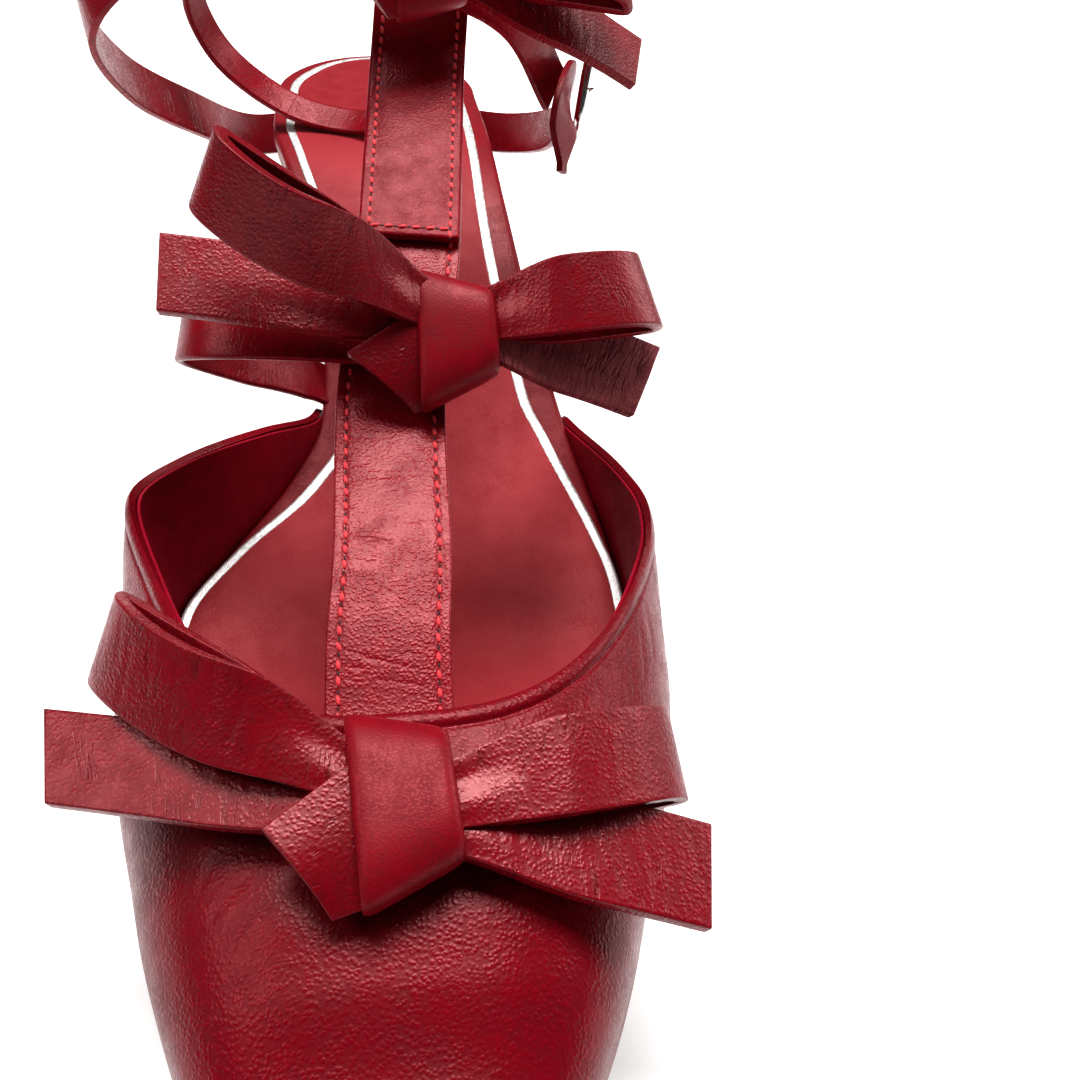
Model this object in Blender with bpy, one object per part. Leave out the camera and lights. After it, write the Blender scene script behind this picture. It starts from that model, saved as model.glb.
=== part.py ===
# Left heeled pump with open sides, a T-strap, an ankle strap and three ribbon bows.
# Lengths are in millimetres along the last: x is lateral, station runs from the back
# of the heel to the toe, height is above the floor. place() turns them into metres.

from collections import namedtuple
from math import cos, exp, pi, radians, sin, sqrt

import bmesh
import bpy
from mathutils import Matrix, Vector

MM = 0.001
X_MIDDLE = -0.594
Y_MIDDLE = 118.833

# Last
LAST_LENGTH = 246.5
BALL_HEIGHT = 8.0
HEEL_RISE = 52.0
BALL_STATION = 165.0
SEAT_STATION = 50.0
SEAT_SLOPE = 0.06
SPRING_STATION = 192.0
TOE_SPRING = 6.0
HEEL_ROUND = 24.0
TOE_ROUND = 41.0
TOE_DROP = 26.0

# Upper
WALL = 1.6
GAP = 0.3
SEAM = 0.4
SIDE_POWER = 0.6
CROWN_POWER = 0.8
FLARE = 0.025
FLARE_EDGE = 0.8
FLARE_ANGLE = radians(35.0)
MEDIAL_FLARE = 5.0
MEDIAL_FLARE_STATION = 140.0
MEDIAL_FLARE_LENGTH = 15.0
LATERAL_FLARE = 1.6
LATERAL_FLARE_STATION = 145.0
LATERAL_FLARE_LENGTH = 15.0
THROAT_STATION = 191.3
LATERAL_WING = 118.2
MEDIAL_WING = 118.0
LATERAL_SWEEP = 1.18
MEDIAL_SWEEP = 1.72
LATERAL_REACH = 3.5
MEDIAL_REACH = 6.0
REACH_FADE = radians(4.5)

# Insole and outsole
INSOLE_TIP = 244.3
INSOLE_THICK = 3.6
INSOLE_LIP = 3.0
INSOLE_ROUND = 0.5
INSOLE_BEVEL = 0.8
FORE_SOLE = 4.1
WAIST_SOLE = 2.6
SOLE_MARGIN = 1.6
WAIST_MARGIN = -0.4
SOLE_TIP = 246.2

# Heel
HEEL_BREAST = 46.0
HEEL_BACK = 0.9
HEEL_BASE_BACK = 7.0
HEEL_BASE_BREAST = 39.0
HEEL_BASE_HALF = 15.5
HEEL_WAIST = 1.7
TIP_THICK = 5.0

# Straps and bows
STRAP_THICK = 1.4
BAND_THICK = 1.2
T_WIDTH = 15.5
BAND_WIDTH = 9.5
ANKLE_WIDTH = 9.0
WRAP_WIDTH = 6.5
RIBBON_WIDTH = 12.0
RIBBON_THICK = 1.4
BUCKLE_WIRE = 0.9
BUCKLE_LIFT = 2.8
BUCKLE_ROW = 15
PRONG_WIRE = 0.6

LEATHER = (0.26, 0.012, 0.02)
SOLE_COLOUR = (0.16, 0.09, 0.06)
RUBBER = (0.03, 0.025, 0.025)
METAL = (0.62, 0.6, 0.58)

Plan = namedtuple("Plan", "station centre half")
PLAN = (
    Plan(0, 0.7, 21.8),
    Plan(25, 0.7, 21.8),
    Plan(45, 1.0, 22.1),
    Plan(60, 2.4, 21.0),
    Plan(75, 4.5, 19.8),
    Plan(90, 6.7, 19.3),
    Plan(104, 8.5, 19.9),
    Plan(114, 8.9, 21.4),
    Plan(124, 7.3, 25.6),
    Plan(135, 3.8, 31.8),
    Plan(145, 0.9, 36.0),
    Plan(158, -0.3, 37.2),
    Plan(172, -0.9, 36.5),
    Plan(185, -1.2, 34.3),
    Plan(200, -2.1, 29.5),
    Plan(215, -2.6, 25.2),
    Plan(226, -3.1, 22.9),
    Plan(247, -4.0, 19.5),
)

Crown = namedtuple("Crown", "station height")
CROWN = (
    Crown(100, 47.0),
    Crown(124, 45.0),
    Crown(145, 42.5),
    Crown(168, 37.0),
    Crown(189, 30.5),
    Crown(205, 26.0),
    Crown(213, 23.8),
    Crown(221, 20.6),
    Crown(230, 17.0),
    Crown(238, 15.8),
    Crown(247, 18.0),
)

Route = namedtuple("Route", "x station z")
T_LOWER = (
    Route(-2.0, 180, 36.6),
    Route(-1.0, 168.5, 41.2),
    Route(0.0, 143.5, 50.5),
    Route(3.6, 124, 62.4),
    Route(5.2, 110, 70.2),
)
T_UPPER = (
    Route(3.9, 122.5, 65.4),
    Route(5.2, 110, 72.3),
    Route(7.0, 93, 82.0),
    Route(8.6, 83, 92.0),
    Route(9.3, 80.5, 101.0),
)
INSTEP_BAND = (
    Route(-13.4, 107.0, 31.8),
    Route(-14.2, 107.1, 33.6),
    Route(-15.6, 107.6, 36.2),
    Route(-24.0, 112.4, 41.4),
    Route(-31.4, 121.0, 49.6),
    Route(-27.0, 131.0, 55.5),
    Route(-12.0, 136.0, 57.2),
    Route(1.0, 137.5, 56.4),
    Route(14.0, 137.0, 55.8),
    Route(29.0, 131.0, 52.5),
    Route(39.0, 121.0, 47.0),
    Route(39.0, 112.0, 40.5),
    Route(33.4, 107.6, 36.4),
    Route(32.0, 107.1, 33.6),
    Route(31.3, 107.0, 31.8),
)
ANKLE_STRAP = (
    Route(32.8, 74.5, 74.5),
    Route(23.6, 83.5, 89.4),
    Route(9.0, 86.4, 96.0),
    Route(-11.0, 85.5, 98.0),
    Route(-32.0, 88.0, 99.0),
    Route(-45.4, 84.0, 89.0),
    Route(-44.4, 66.0, 74.3),
    Route(-36.0, 45.0, 61.8),
    Route(-28.0, 22.0, 51.0),
    Route(-17.0, 2.0, 46.0),
    Route(0.5, -6.27, 45.0),
    Route(18.0, 1.0, 46.5),
    Route(30.0, 22.0, 51.0),
    Route(36.5, 45.0, 58.6),
    Route(37.2, 61.0, 66.8),
    Route(35.7, 74.0, 75.0),
    Route(33.4, 84.0, 74.0),
    Route(32.3, 90.5, 64.5),
)
ANKLE_WRAP = (
    Route(6.5, 77.4, 97.0),
    Route(-12.0, 73.0, 100.5),
    Route(-27.0, 63.0, 96.0),
    Route(-33.0, 51.0, 86.0),
    Route(-29.0, 47.0, 73.6),
    Route(-17.0, 48.5, 64.6),
    Route(-4.0, 52.5, 62.4),
    Route(5.0, 60.0, 66.5),
    Route(10.5, 69.0, 77.0),
    Route(11.5, 77.5, 91.0),
)
INSTEP_AXIS = Route(8.0, 118, 30)
INSTEP_LINE = Vector((0.0, -0.84, -0.54)).normalized()
ANKLE_AXIS = Route(0.0, 55, 76)
WRAP_AXIS = Route(-8.0, 62, 84)

# Each bow has a knot and four ribbons; a ribbon's row says where the middle of its end
# lies, how its width slopes towards the toe and how far it turns on the surface. The
# knot's wrap is taller at its medial end and slides along the surface.
Bow = namedtuple("Bow", "name knot slope turn slide ribbons")
Ribbon = namedtuple("Ribbon", "kind x station z slope turn")
BOWS = (
    Bow("bow_toe", Route(-1.0, 207.1, 35.2), 17.0, -4.0, -1.4, (
        Ribbon("loop", -34.7, 181.4, 40.4, 64.0, 22.0),
        Ribbon("loop", 30.6, 198.0, 30.2, 28.0, -4.0),
        Ribbon("tail", -41.0, 193.0, 32.9, 17.0, -8.0),
        Ribbon("tail", 32.1, 212.5, 26.4, 17.0, 12.0),
    )),
    Bow("bow_instep", Route(9.6, 141.0, 60.3), 44.0, 0.0, 1.3, (
        Ribbon("loop", -22.0, 138.5, 81.6, 92.0, 25.0),
        Ribbon("loop", 37.3, 138.3, 62.4, 48.0, -15.0),
        Ribbon("tail", -31.0, 135.3, 66.0, 38.0, 2.0),
        Ribbon("tail", 37.3, 143.8, 51.1, 38.0, 26.0),
    )),
    Bow("bow_ankle", Route(9.6, 90.4, 98.9), 58.0, 0.0, 0.0, (
        Ribbon("loop", -24.0, 92.0, 110.0, 50.0, 0.0),
        Ribbon("loop", 41.5, 89.0, 95.5, 50.0, 0.0),
        Ribbon("tail", -29.0, 96.0, 104.0, 20.0, 0.0),
        Ribbon("tail", 44.85, 88.0, 82.2, 25.0, 14.0),
    )),
)
KNOT_SIZE = Vector((12.0, 18.6, 6.6))
KNOT_TAPER = 0.21
KNOT_ROUND = 2.2
LOOP_WIDTH = 11.0
LOOP_HEIGHT = 7.4
LOOP_SPREAD = 2.4
LOOP_BELLY = 0.12
RIBBON_ARCH = 1.5

BUCKLE_SIZE = Vector((10.0, 16.5))


def place(x, station, z):
    return Vector(((x - X_MIDDLE) * MM, (Y_MIDDLE - station) * MM, z * MM))


def ease(value, start, end):
    part = min(max((value - start) / (end - start), 0.0), 1.0)
    return part * part * (3.0 - 2.0 * part)


def rounded(part):
    part = min(max(part, 0.0), 1.0)
    return sqrt(1.0 - (1.0 - part) ** 2)


def between(rows, column, station):
    # Cubic through a table's column, with no overshoot between its rows.
    stations = [row.station for row in rows]
    values = [getattr(row, column) for row in rows]
    station = min(max(station, stations[0]), stations[-1])
    index = max(i for i in range(len(rows) - 1) if stations[i] <= station)
    slopes = [(values[i + 1] - values[i]) / (stations[i + 1] - stations[i]) for i in range(len(rows) - 1)]
    knots = [slopes[0]]
    for before, after in zip(slopes, slopes[1:]):
        level = before * after <= 0.0
        knots.append(0.0 if level else 2.0 * before * after / (before + after))
    knots.append(slopes[-1])
    span = stations[index + 1] - stations[index]
    t = (station - stations[index]) / span
    rise = values[index + 1] - values[index]
    swing = t * (1.0 - t) * span
    lead = swing * (1.0 - t) * knots[index] - swing * t * knots[index + 1]
    return values[index] + rise * t * t * (3.0 - 2.0 * t) + lead


def foot_height(station):
    # Top of the insole: heel seat, arch, ball and toe spring.
    climb = 1.0 - ease(station, SEAT_STATION, BALL_STATION)
    seat = SEAT_SLOPE * max(SEAT_STATION - station, 0.0)
    spring = max(station - SPRING_STATION, 0.0) / (LAST_LENGTH - SPRING_STATION)
    return BALL_HEIGHT + HEEL_RISE * climb + seat + TOE_SPRING * spring ** 2


def insole_bottom(station):
    return foot_height(station) - INSOLE_THICK


def sole_top(station):
    return insole_bottom(station) - GAP


def sole_bottom(station):
    thick = WAIST_SOLE + (FORE_SOLE - WAIST_SOLE) * ease(station, 108, 150)
    return sole_top(station) - thick


def half_width(station, tip):
    ends = rounded(station / HEEL_ROUND) * rounded((tip - station) / TOE_ROUND)
    return between(PLAN, "half", station) * ends


def outline(u, v, tip, margin, inset):
    # A point of a sole layer: u runs across it and v from heel to toe.
    station = tip * 0.5 * (1.0 - cos(pi * v))
    half = half_width(station, tip)
    grown = half + margin(station) * rounded(half / 10.0)
    narrow = grown * (1.0 - inset / max(grown, 18.0))
    middle = 0.5 * tip
    drawn = middle + (station - middle) * (1.0 - inset / middle)
    return between(PLAN, "centre", station) + (2.0 * u - 1.0) * narrow, drawn


def edge(station, side):
    return side * between(PLAN, "centre", station) + between(PLAN, "half", station)


def vamp_point(angle, station):
    # Outer face of the upper: angle 0 is its medial lower edge, pi the lateral one.
    low = min(angle, pi - angle)
    side = -1.0 if angle < 0.5 * pi else 1.0
    lean = ease(low, 0.0, FLARE_ANGLE)
    drop = rounded((LAST_LENGTH - station) / TOE_DROP)
    slant = 0.5 * (edge(station + 1.0, side) - edge(station - 1.0, side))
    cover = (GAP + SEAM + WALL) * sqrt(1.0 + slant ** 2)
    base = (between(PLAN, "half", station) + cover) * rounded((LAST_LENGTH - station) / TOE_ROUND)
    if side < 0.0:
        wing = MEDIAL_FLARE * exp(-((station - MEDIAL_FLARE_STATION) / MEDIAL_FLARE_LENGTH) ** 2)
    else:
        wing = LATERAL_FLARE * exp(-((station - LATERAL_FLARE_STATION) / LATERAL_FLARE_LENGTH) ** 2)
    flare = FLARE_EDGE * drop + wing
    width = base * (1.0 + FLARE * lean) + flare * lean
    x = between(PLAN, "centre", station) + side * width * max(cos(low), 0.0) ** SIDE_POWER
    z = insole_bottom(station) + between(CROWN, "height", station) * drop * sin(low) ** CROWN_POWER
    return x, z


def topline(angle):
    # Station where the upper ends: wings low at the sides, throat over the ridge.
    lateral = angle > 0.5 * pi
    wing = LATERAL_WING if lateral else MEDIAL_WING
    sweep = LATERAL_SWEEP if lateral else MEDIAL_SWEEP
    reach = LATERAL_REACH if lateral else MEDIAL_REACH
    tail = reach * exp(-min(angle, pi - angle) / REACH_FADE)
    return wing - tail + (THROAT_STATION - wing) * sin(angle) ** sweep


def vamp_sheet(u, v):
    angle = pi * u
    reach = LAST_LENGTH - topline(angle)
    station = LAST_LENGTH - reach * v ** 1.6
    x, z = vamp_point(angle, station)
    return place(x, station, z)


def leather_look(name, colour, roughness, metallic=0.0):
    material = bpy.data.materials.new(name)
    material.use_nodes = True
    shader = material.node_tree.nodes["Principled BSDF"]
    shader.inputs["Base Color"].default_value = (*colour, 1.0)
    shader.inputs["Roughness"].default_value = roughness
    shader.inputs["Metallic"].default_value = metallic
    return material


def add_object(name, mesh, colour, roughness, metallic=0.0):
    data = bpy.data.meshes.new(name)
    mesh.to_mesh(data)
    mesh.free()
    data.shade_smooth()
    data.set_sharp_from_angle(angle=radians(40.0))
    piece = bpy.data.objects.new(name, data)
    bpy.context.scene.collection.objects.link(piece)
    data.materials.append(leather_look(name, colour, roughness, metallic))
    return piece


def grid(across, along):
    mesh = bmesh.new()
    bmesh.ops.create_grid(mesh, x_segments=across, y_segments=along, size=0.5)
    return mesh


def sheet(across, along, shape):
    mesh = grid(across, along)
    for vert in mesh.verts:
        vert.co = shape(vert.co.x + 0.5, vert.co.y + 0.5)
    bmesh.ops.remove_doubles(mesh, verts=mesh.verts, dist=1e-6)
    return mesh


def thicken(piece, thickness, offset):
    solid = piece.modifiers.new("thickness", "SOLIDIFY")
    solid.thickness = thickness * MM
    solid.offset = offset


def stack(across, along, levels):
    # Closed solid: a grid extruded level by level, each level placed by its own function.
    mesh = grid(across, along)
    level_of = {vert: 0 for vert in mesh.verts}
    cap = mesh.faces[:]
    for level in range(1, len(levels)):
        grown = bmesh.ops.extrude_face_region(mesh, geom=cap)["geom"]
        if level > 1:
            inner = [face for face in cap if face.is_valid]
            bmesh.ops.delete(mesh, geom=inner, context="FACES")
        cap = [item for item in grown if isinstance(item, bmesh.types.BMFace)]
        for item in grown:
            if isinstance(item, bmesh.types.BMVert):
                level_of[item] = level
    for vert in mesh.verts:
        vert.co = levels[level_of[vert]](vert.co.x + 0.5, vert.co.y + 0.5)
    bmesh.ops.remove_doubles(mesh, verts=mesh.verts, dist=1e-6)
    bmesh.ops.recalc_face_normals(mesh, faces=mesh.faces)
    return mesh


def layer(tip, margin, inset, height):
    def point(u, v):
        x, station = outline(u, v, tip, margin, inset)
        return place(x, station, height(station))
    return point


def curve_point(points, value):
    # Catmull-Rom through the points, value counted in rows.
    index = min(int(value), len(points) - 2)
    t = value - index
    here = points[index]
    after = points[index + 1]
    before = points[index - 1] if index > 0 else here * 2.0 - after
    beyond = points[index + 2] if index + 2 < len(points) else after * 2.0 - here
    start = (after - before) * 0.5
    end = (beyond - here) * 0.5
    bend = here * (2 * t**3 - 3 * t**2 + 1) + after * (3 * t**2 - 2 * t**3)
    return bend + start * (t**3 - 2 * t**2 + t) + end * (t**3 - t**2)


def strap_frame(points, value, facing):
    # Middle of a strap, the way it runs and its width direction.
    middle = curve_point(points, value)
    ahead = curve_point(points, min(value + 0.01, len(points) - 1))
    behind = curve_point(points, max(value - 0.01, 0.0))
    tangent = (ahead - behind).normalized()
    return middle, tangent, tangent.cross(facing(middle)).normalized()


def strap_sheet(route, width, facing, per_row, point_length=0.0):
    # Flat strap along a route; facing(point) gives the way its face looks.
    points = [place(*row) for row in route]
    last = len(points) - 1

    def shape(u, v):
        value = v * last
        middle, tangent, across = strap_frame(points, value, facing)
        left = (points[-1] - middle).length / MM
        taper = 1.0
        if point_length and value > last - 1:
            taper = max(min(left / point_length, 1.0), 0.25)
        return middle + across * ((u - 0.5) * width * taper * MM)
    return sheet(1, last * per_row, shape)


def away_from(axis, line=Vector((0.0, 0.0, 0.0))):
    # Faces away from a point, or from a line through it.
    centre = place(*axis)
    return lambda point: (point - centre) - line * line.dot(point - centre)


def strap(name, route, width, facing, thick, per_row, point_length=0.0):
    piece = add_object(name, strap_sheet(route, width, facing, per_row, point_length), LEATHER, 0.42)
    thicken(piece, thick, 0.0)
    return piece


def build_soles():
    def waist_to_fore(station):
        return WAIST_MARGIN + (SOLE_MARGIN - WAIST_MARGIN) * ease(station, 108, 122)

    def none(station):
        return 0.0

    outsole = (
        layer(SOLE_TIP, waist_to_fore, 0.8, sole_bottom),
        layer(SOLE_TIP, waist_to_fore, 0.0, lambda station: sole_bottom(station) + 0.8),
        layer(SOLE_TIP, waist_to_fore, 0.0, sole_top),
    )
    add_object("outsole", stack(2, 52, outsole), SOLE_COLOUR, 0.55)
    insole = (
        layer(INSOLE_TIP, none, INSOLE_BEVEL, insole_bottom),
        layer(INSOLE_TIP, none, 0.0, lambda station: foot_height(station) - INSOLE_LIP),
        layer(INSOLE_TIP, none, 0.0, lambda station: foot_height(station) - INSOLE_ROUND),
        layer(INSOLE_TIP, none, INSOLE_ROUND, foot_height),
    )
    add_object("insole", stack(2, 52, insole), LEATHER, 0.4)


def heel_level(part):
    # One level of the heel block: part 0 at its base and 1 under the sole.
    growth = part ** HEEL_WAIST

    def point(u, v):
        top_station = HEEL_BACK + (HEEL_BREAST - HEEL_BACK) * v
        base_station = HEEL_BASE_BACK + (HEEL_BASE_BREAST - HEEL_BASE_BACK) * v
        bow = rounded(v / 0.5)
        top_half = between(PLAN, "half", top_station) - 1.0
        half = bow * (HEEL_BASE_HALF + (top_half - HEEL_BASE_HALF) * growth)
        station = base_station + (top_station - base_station) * growth
        ceiling = sole_bottom(station) - GAP
        z = TIP_THICK + GAP + (ceiling - TIP_THICK - GAP) * part
        return place(0.9 + (2.0 * u - 1.0) * half, station, z)
    return point


def tip_level(height):
    def point(u, v):
        station = HEEL_BASE_BACK + (HEEL_BASE_BREAST - HEEL_BASE_BACK) * v
        return place(0.9 + (2.0 * u - 1.0) * HEEL_BASE_HALF * rounded(v / 0.5), station, height)
    return point


def build_heel():
    levels = [heel_level(step / 5.0) for step in range(6)]
    add_object("heel", stack(4, 14, levels), LEATHER, 0.42)
    add_object("heel_tip", stack(4, 14, [tip_level(0.0), tip_level(TIP_THICK)]), RUBBER, 0.7)


def build_vamp():
    vamp = add_object("vamp", sheet(34, 24, vamp_sheet), LEATHER, 0.42)
    thicken(vamp, WALL, -1.0)


def ridge(station):
    return vamp_point(0.5 * pi, station)[1]


def build_straps():
    def upward(point):
        return Vector((0.0, -0.55, 0.84))

    tucked = [Route(-2.4, at, ridge(at) - WALL - GAP - 0.5 * STRAP_THICK - 0.15) for at in (202, 196, 190)]
    strap("t_strap_lower", (*tucked, *T_LOWER), T_WIDTH, upward, STRAP_THICK, 3)
    strap("t_strap_upper", T_UPPER, T_WIDTH, upward, STRAP_THICK, 4)
    strap("instep_strap", INSTEP_BAND, BAND_WIDTH, away_from(INSTEP_AXIS, INSTEP_LINE), BAND_THICK, 4)
    strap("ankle_strap", ANKLE_STRAP, ANKLE_WIDTH, away_from(ANKLE_AXIS), BAND_THICK, 4, 7.0)
    strap("ankle_wrap", ANKLE_WRAP, WRAP_WIDTH, away_from(WRAP_AXIS), BAND_THICK, 5)


def bow_axes(slope, turn):
    tilt = radians(slope)
    along = Vector((0.0, -cos(tilt), -sin(tilt)))
    normal = Vector((0.0, -sin(tilt), cos(tilt)))
    spin = Matrix.Rotation(-radians(turn), 3, normal)
    return spin @ Vector((1.0, 0.0, 0.0)), spin @ along, normal


def gather(part):
    return 0.62 + 0.38 * ease(part, 0.0, 0.6)


def twisted(knot_axes, end_axes, part):
    # Width and face directions of a ribbon that turns between its knot and its end.
    turn = ease(part, 0.0, 0.9)
    along = knot_axes[1].lerp(end_axes[1], turn).normalized()
    normal = knot_axes[2].lerp(end_axes[2], turn).normalized()
    return along, normal


def loop_shape(start, end, knot_axes, end_axes):
    # A ribbon that leaves the knot, turns back at the end and returns over itself.
    def shape(u, v):
        turn = 2.0 * pi * v
        part = 0.5 * (1.0 - cos(turn))
        along, normal = twisted(knot_axes, end_axes, part)
        side = LOOP_BELLY if v < 0.5 else 1.0
        swell = -side * LOOP_HEIGHT * sin(turn) * sqrt(part) * ease(part, 0.1, 0.7)
        lift = swell + LOOP_SPREAD * (v - 0.5) + RIBBON_ARCH * sin(pi * part)
        width = (u - 0.5) * LOOP_WIDTH * gather(part)
        return start + (end - start) * part + (normal * lift + along * width) * MM
    return shape


def tail_shape(start, end, knot_axes, end_axes):
    def shape(u, v):
        along, normal = twisted(knot_axes, end_axes, v)
        width = (u - 0.5) * RIBBON_WIDTH * gather(v)
        lift = RIBBON_ARCH * sin(pi * v)
        return start + (end - start) * v + (normal * lift + along * width) * MM
    return shape


def build_knot(name, centre, axes, slide):
    mesh = bmesh.new()
    bmesh.ops.create_cube(mesh, size=1.0)
    bmesh.ops.scale(mesh, verts=mesh.verts, vec=KNOT_SIZE * MM)
    bmesh.ops.bevel(mesh, geom=mesh.edges, offset=KNOT_ROUND * MM, segments=3, profile=0.5, affect="EDGES")
    for vert in mesh.verts:
        taller = 1.0 - 2.0 * KNOT_TAPER * vert.co.x / (KNOT_SIZE.x * MM)
        vert.co.y = vert.co.y * taller - slide * MM
    frame = Matrix((axes[0], -axes[1], axes[2])).transposed().to_4x4()
    frame.translation = centre
    bmesh.ops.transform(mesh, matrix=frame, verts=mesh.verts)
    return add_object(name, mesh, LEATHER, 0.42)


def build_bow(bow):
    centre = place(*bow.knot)
    axes = bow_axes(bow.slope, bow.turn)
    knot = build_knot(bow.name, centre, axes, bow.slide)
    for number, ribbon in enumerate(bow.ribbons):
        end = place(ribbon.x, ribbon.station, ribbon.z)
        make = loop_shape if ribbon.kind == "loop" else tail_shape
        shape = make(centre, end, axes, bow_axes(ribbon.slope, ribbon.turn))
        mesh = sheet(2, 28 if ribbon.kind == "loop" else 8, shape)
        strip = add_object(bow.name + "_strip_" + str(number), mesh, LEATHER, 0.42)
        thicken(strip, RIBBON_THICK, 0.0)
        strip.hide_render = True
        strip.display_type = "WIRE"
        joined = knot.modifiers.new(strip.name, "BOOLEAN")
        joined.operation = "UNION"
        joined.solver = "EXACT"
        joined.use_self = True
        joined.object = strip


def rounded_square(turn, size, corner):
    part = abs(turn) ** corner
    return 0.5 * size * (part if turn > 0.0 else -part)


def build_buckle():
    # Frame on the outer face of the ankle strap, with a prong over its two bars.
    points = [place(*row) for row in ANKLE_STRAP]
    middle, run, across = strap_frame(points, BUCKLE_ROW, away_from(ANKLE_AXIS))
    facing = across.cross(run)
    middle = middle + facing * BUCKLE_LIFT * MM

    def ring(u, v):
        c = cos(2.0 * pi * v)
        s = sin(2.0 * pi * v)
        out = (run * (c / BUCKLE_SIZE.x) + across * (s / BUCKLE_SIZE.y)).normalized()
        path = run * rounded_square(c, BUCKLE_SIZE.x, 0.62) + across * rounded_square(s, BUCKLE_SIZE.y, 0.62)
        wire = out * cos(2.0 * pi * u) + facing * sin(2.0 * pi * u)
        return middle + (path + wire * BUCKLE_WIRE) * MM
    frame = sheet(8, 32, ring)
    bmesh.ops.recalc_face_normals(frame, faces=frame.faces)
    add_object("buckle_frame", frame, METAL, 0.18, 1.0)
    prong = bmesh.new()
    lift = BUCKLE_WIRE + PRONG_WIRE + GAP
    length = BUCKLE_SIZE.x + 2.0 * BUCKLE_WIRE
    bmesh.ops.create_cone(prong, cap_ends=True, segments=10, radius1=PRONG_WIRE * MM,
                          radius2=0.6 * PRONG_WIRE * MM, depth=length * MM)
    seat = Matrix((across, facing, run)).transposed().to_4x4()
    seat.translation = middle + facing * lift * MM
    bmesh.ops.transform(prong, matrix=seat, verts=prong.verts)
    bmesh.ops.recalc_face_normals(prong, faces=prong.faces)
    add_object("buckle_prong", prong, METAL, 0.18, 1.0)


def build():
    for item in list(bpy.data.objects):
        bpy.data.objects.remove(item, do_unlink=True)
    build_soles()
    build_heel()
    build_vamp()
    build_straps()
    for bow in BOWS:
        build_bow(bow)
    build_buckle()


build()
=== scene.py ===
from bisect import bisect
from math import cos, exp, hypot, pi, radians, sin, sqrt

import bmesh
import bpy
from mathutils import Matrix, Vector


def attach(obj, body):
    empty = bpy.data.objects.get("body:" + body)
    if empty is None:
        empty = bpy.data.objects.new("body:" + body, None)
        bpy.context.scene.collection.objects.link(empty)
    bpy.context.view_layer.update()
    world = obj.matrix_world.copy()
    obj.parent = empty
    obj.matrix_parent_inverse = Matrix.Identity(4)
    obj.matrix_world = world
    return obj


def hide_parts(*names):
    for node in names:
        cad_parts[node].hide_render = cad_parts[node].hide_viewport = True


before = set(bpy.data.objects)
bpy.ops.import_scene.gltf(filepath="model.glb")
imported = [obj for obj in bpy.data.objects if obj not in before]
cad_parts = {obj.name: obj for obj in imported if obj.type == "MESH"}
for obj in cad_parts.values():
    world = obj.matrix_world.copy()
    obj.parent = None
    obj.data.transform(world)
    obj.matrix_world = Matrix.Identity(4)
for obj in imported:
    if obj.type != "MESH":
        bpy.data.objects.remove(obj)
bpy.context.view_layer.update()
mm = 0.001


# the last, in millimetres: station runs from the back of the heel to the toe
last = {
    "xMiddle": -0.594,
    "yMiddle": 118.833,
    "length": 246.5,
    "ballHeight": 8.0,
    "heelRise": 52.0,
    "ballStation": 165.0,
    "seatStation": 50.0,
    "seatSlope": 0.06,
    "springStation": 192.0,
    "toeSpring": 6.0,
    "heelRound": 24.0,
    "toeRound": 41.0,
    "toeDrop": 26.0,
    "gap": 0.3,
    "wall": 1.6,
}
planRows = (  # station, centre, half width
    (0, 0.7, 21.8),
    (25, 0.7, 21.8),
    (45, 1.0, 22.1),
    (60, 2.4, 21.0),
    (75, 4.5, 19.8),
    (90, 6.7, 19.3),
    (104, 8.5, 19.9),
    (114, 8.9, 21.4),
    (124, 7.3, 25.6),
    (135, 3.8, 31.8),
    (145, 0.9, 36.0),
    (158, -0.3, 37.2),
    (172, -0.9, 36.5),
    (185, -1.2, 34.3),
    (200, -2.1, 29.5),
    (215, -2.6, 25.2),
    (226, -3.1, 22.9),
    (247, -4.0, 19.5),
)
crownRows = (  # station, height of the upper's ridge
    (100, 47.0),
    (124, 45.0),
    (145, 42.5),
    (168, 37.0),
    (189, 30.5),
    (205, 26.0),
    (213, 23.8),
    (221, 20.6),
    (230, 17.0),
    (238, 15.8),
    (247, 18.0),
)


def place(x, station, z):
    return Vector(((x - last["xMiddle"]) * mm, (last["yMiddle"] - station) * mm, z * mm))


def ease(value, start, end):
    part = min(max((value - start) / (end - start), 0.0), 1.0)
    return part * part * (3.0 - 2.0 * part)


def rounded(part):
    part = min(max(part, 0.0), 1.0)
    return sqrt(1.0 - (1.0 - part) ** 2)


def signedPower(value, power):
    return abs(value) ** power * (1.0 if value > 0.0 else -1.0)


def curveThrough(rows, column):
    # cubic through one column, with no overshoot between its rows
    stations = [row[0] for row in rows]
    values = [row[column] for row in rows]
    slopes = [(values[i + 1] - values[i]) / (stations[i + 1] - stations[i]) for i in range(len(rows) - 1)]
    knots = [slopes[0]]
    for before, after in zip(slopes, slopes[1:]):
        knots.append(0.0 if before * after <= 0.0 else 2.0 * before * after / (before + after))
    knots.append(slopes[-1])

    def value(station):
        station = min(max(station, stations[0]), stations[-1])
        i = min(bisect(stations, station) - 1, len(rows) - 2)
        span = stations[i + 1] - stations[i]
        t = (station - stations[i]) / span
        swing = t * (1.0 - t) * span
        lead = swing * (1.0 - t) * knots[i] - swing * t * knots[i + 1]
        return values[i] + (values[i + 1] - values[i]) * t * t * (3.0 - 2.0 * t) + lead
    return value


planCentre = curveThrough(planRows, 1)
planHalf = curveThrough(planRows, 2)
crownHeight = curveThrough(crownRows, 1)


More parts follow.
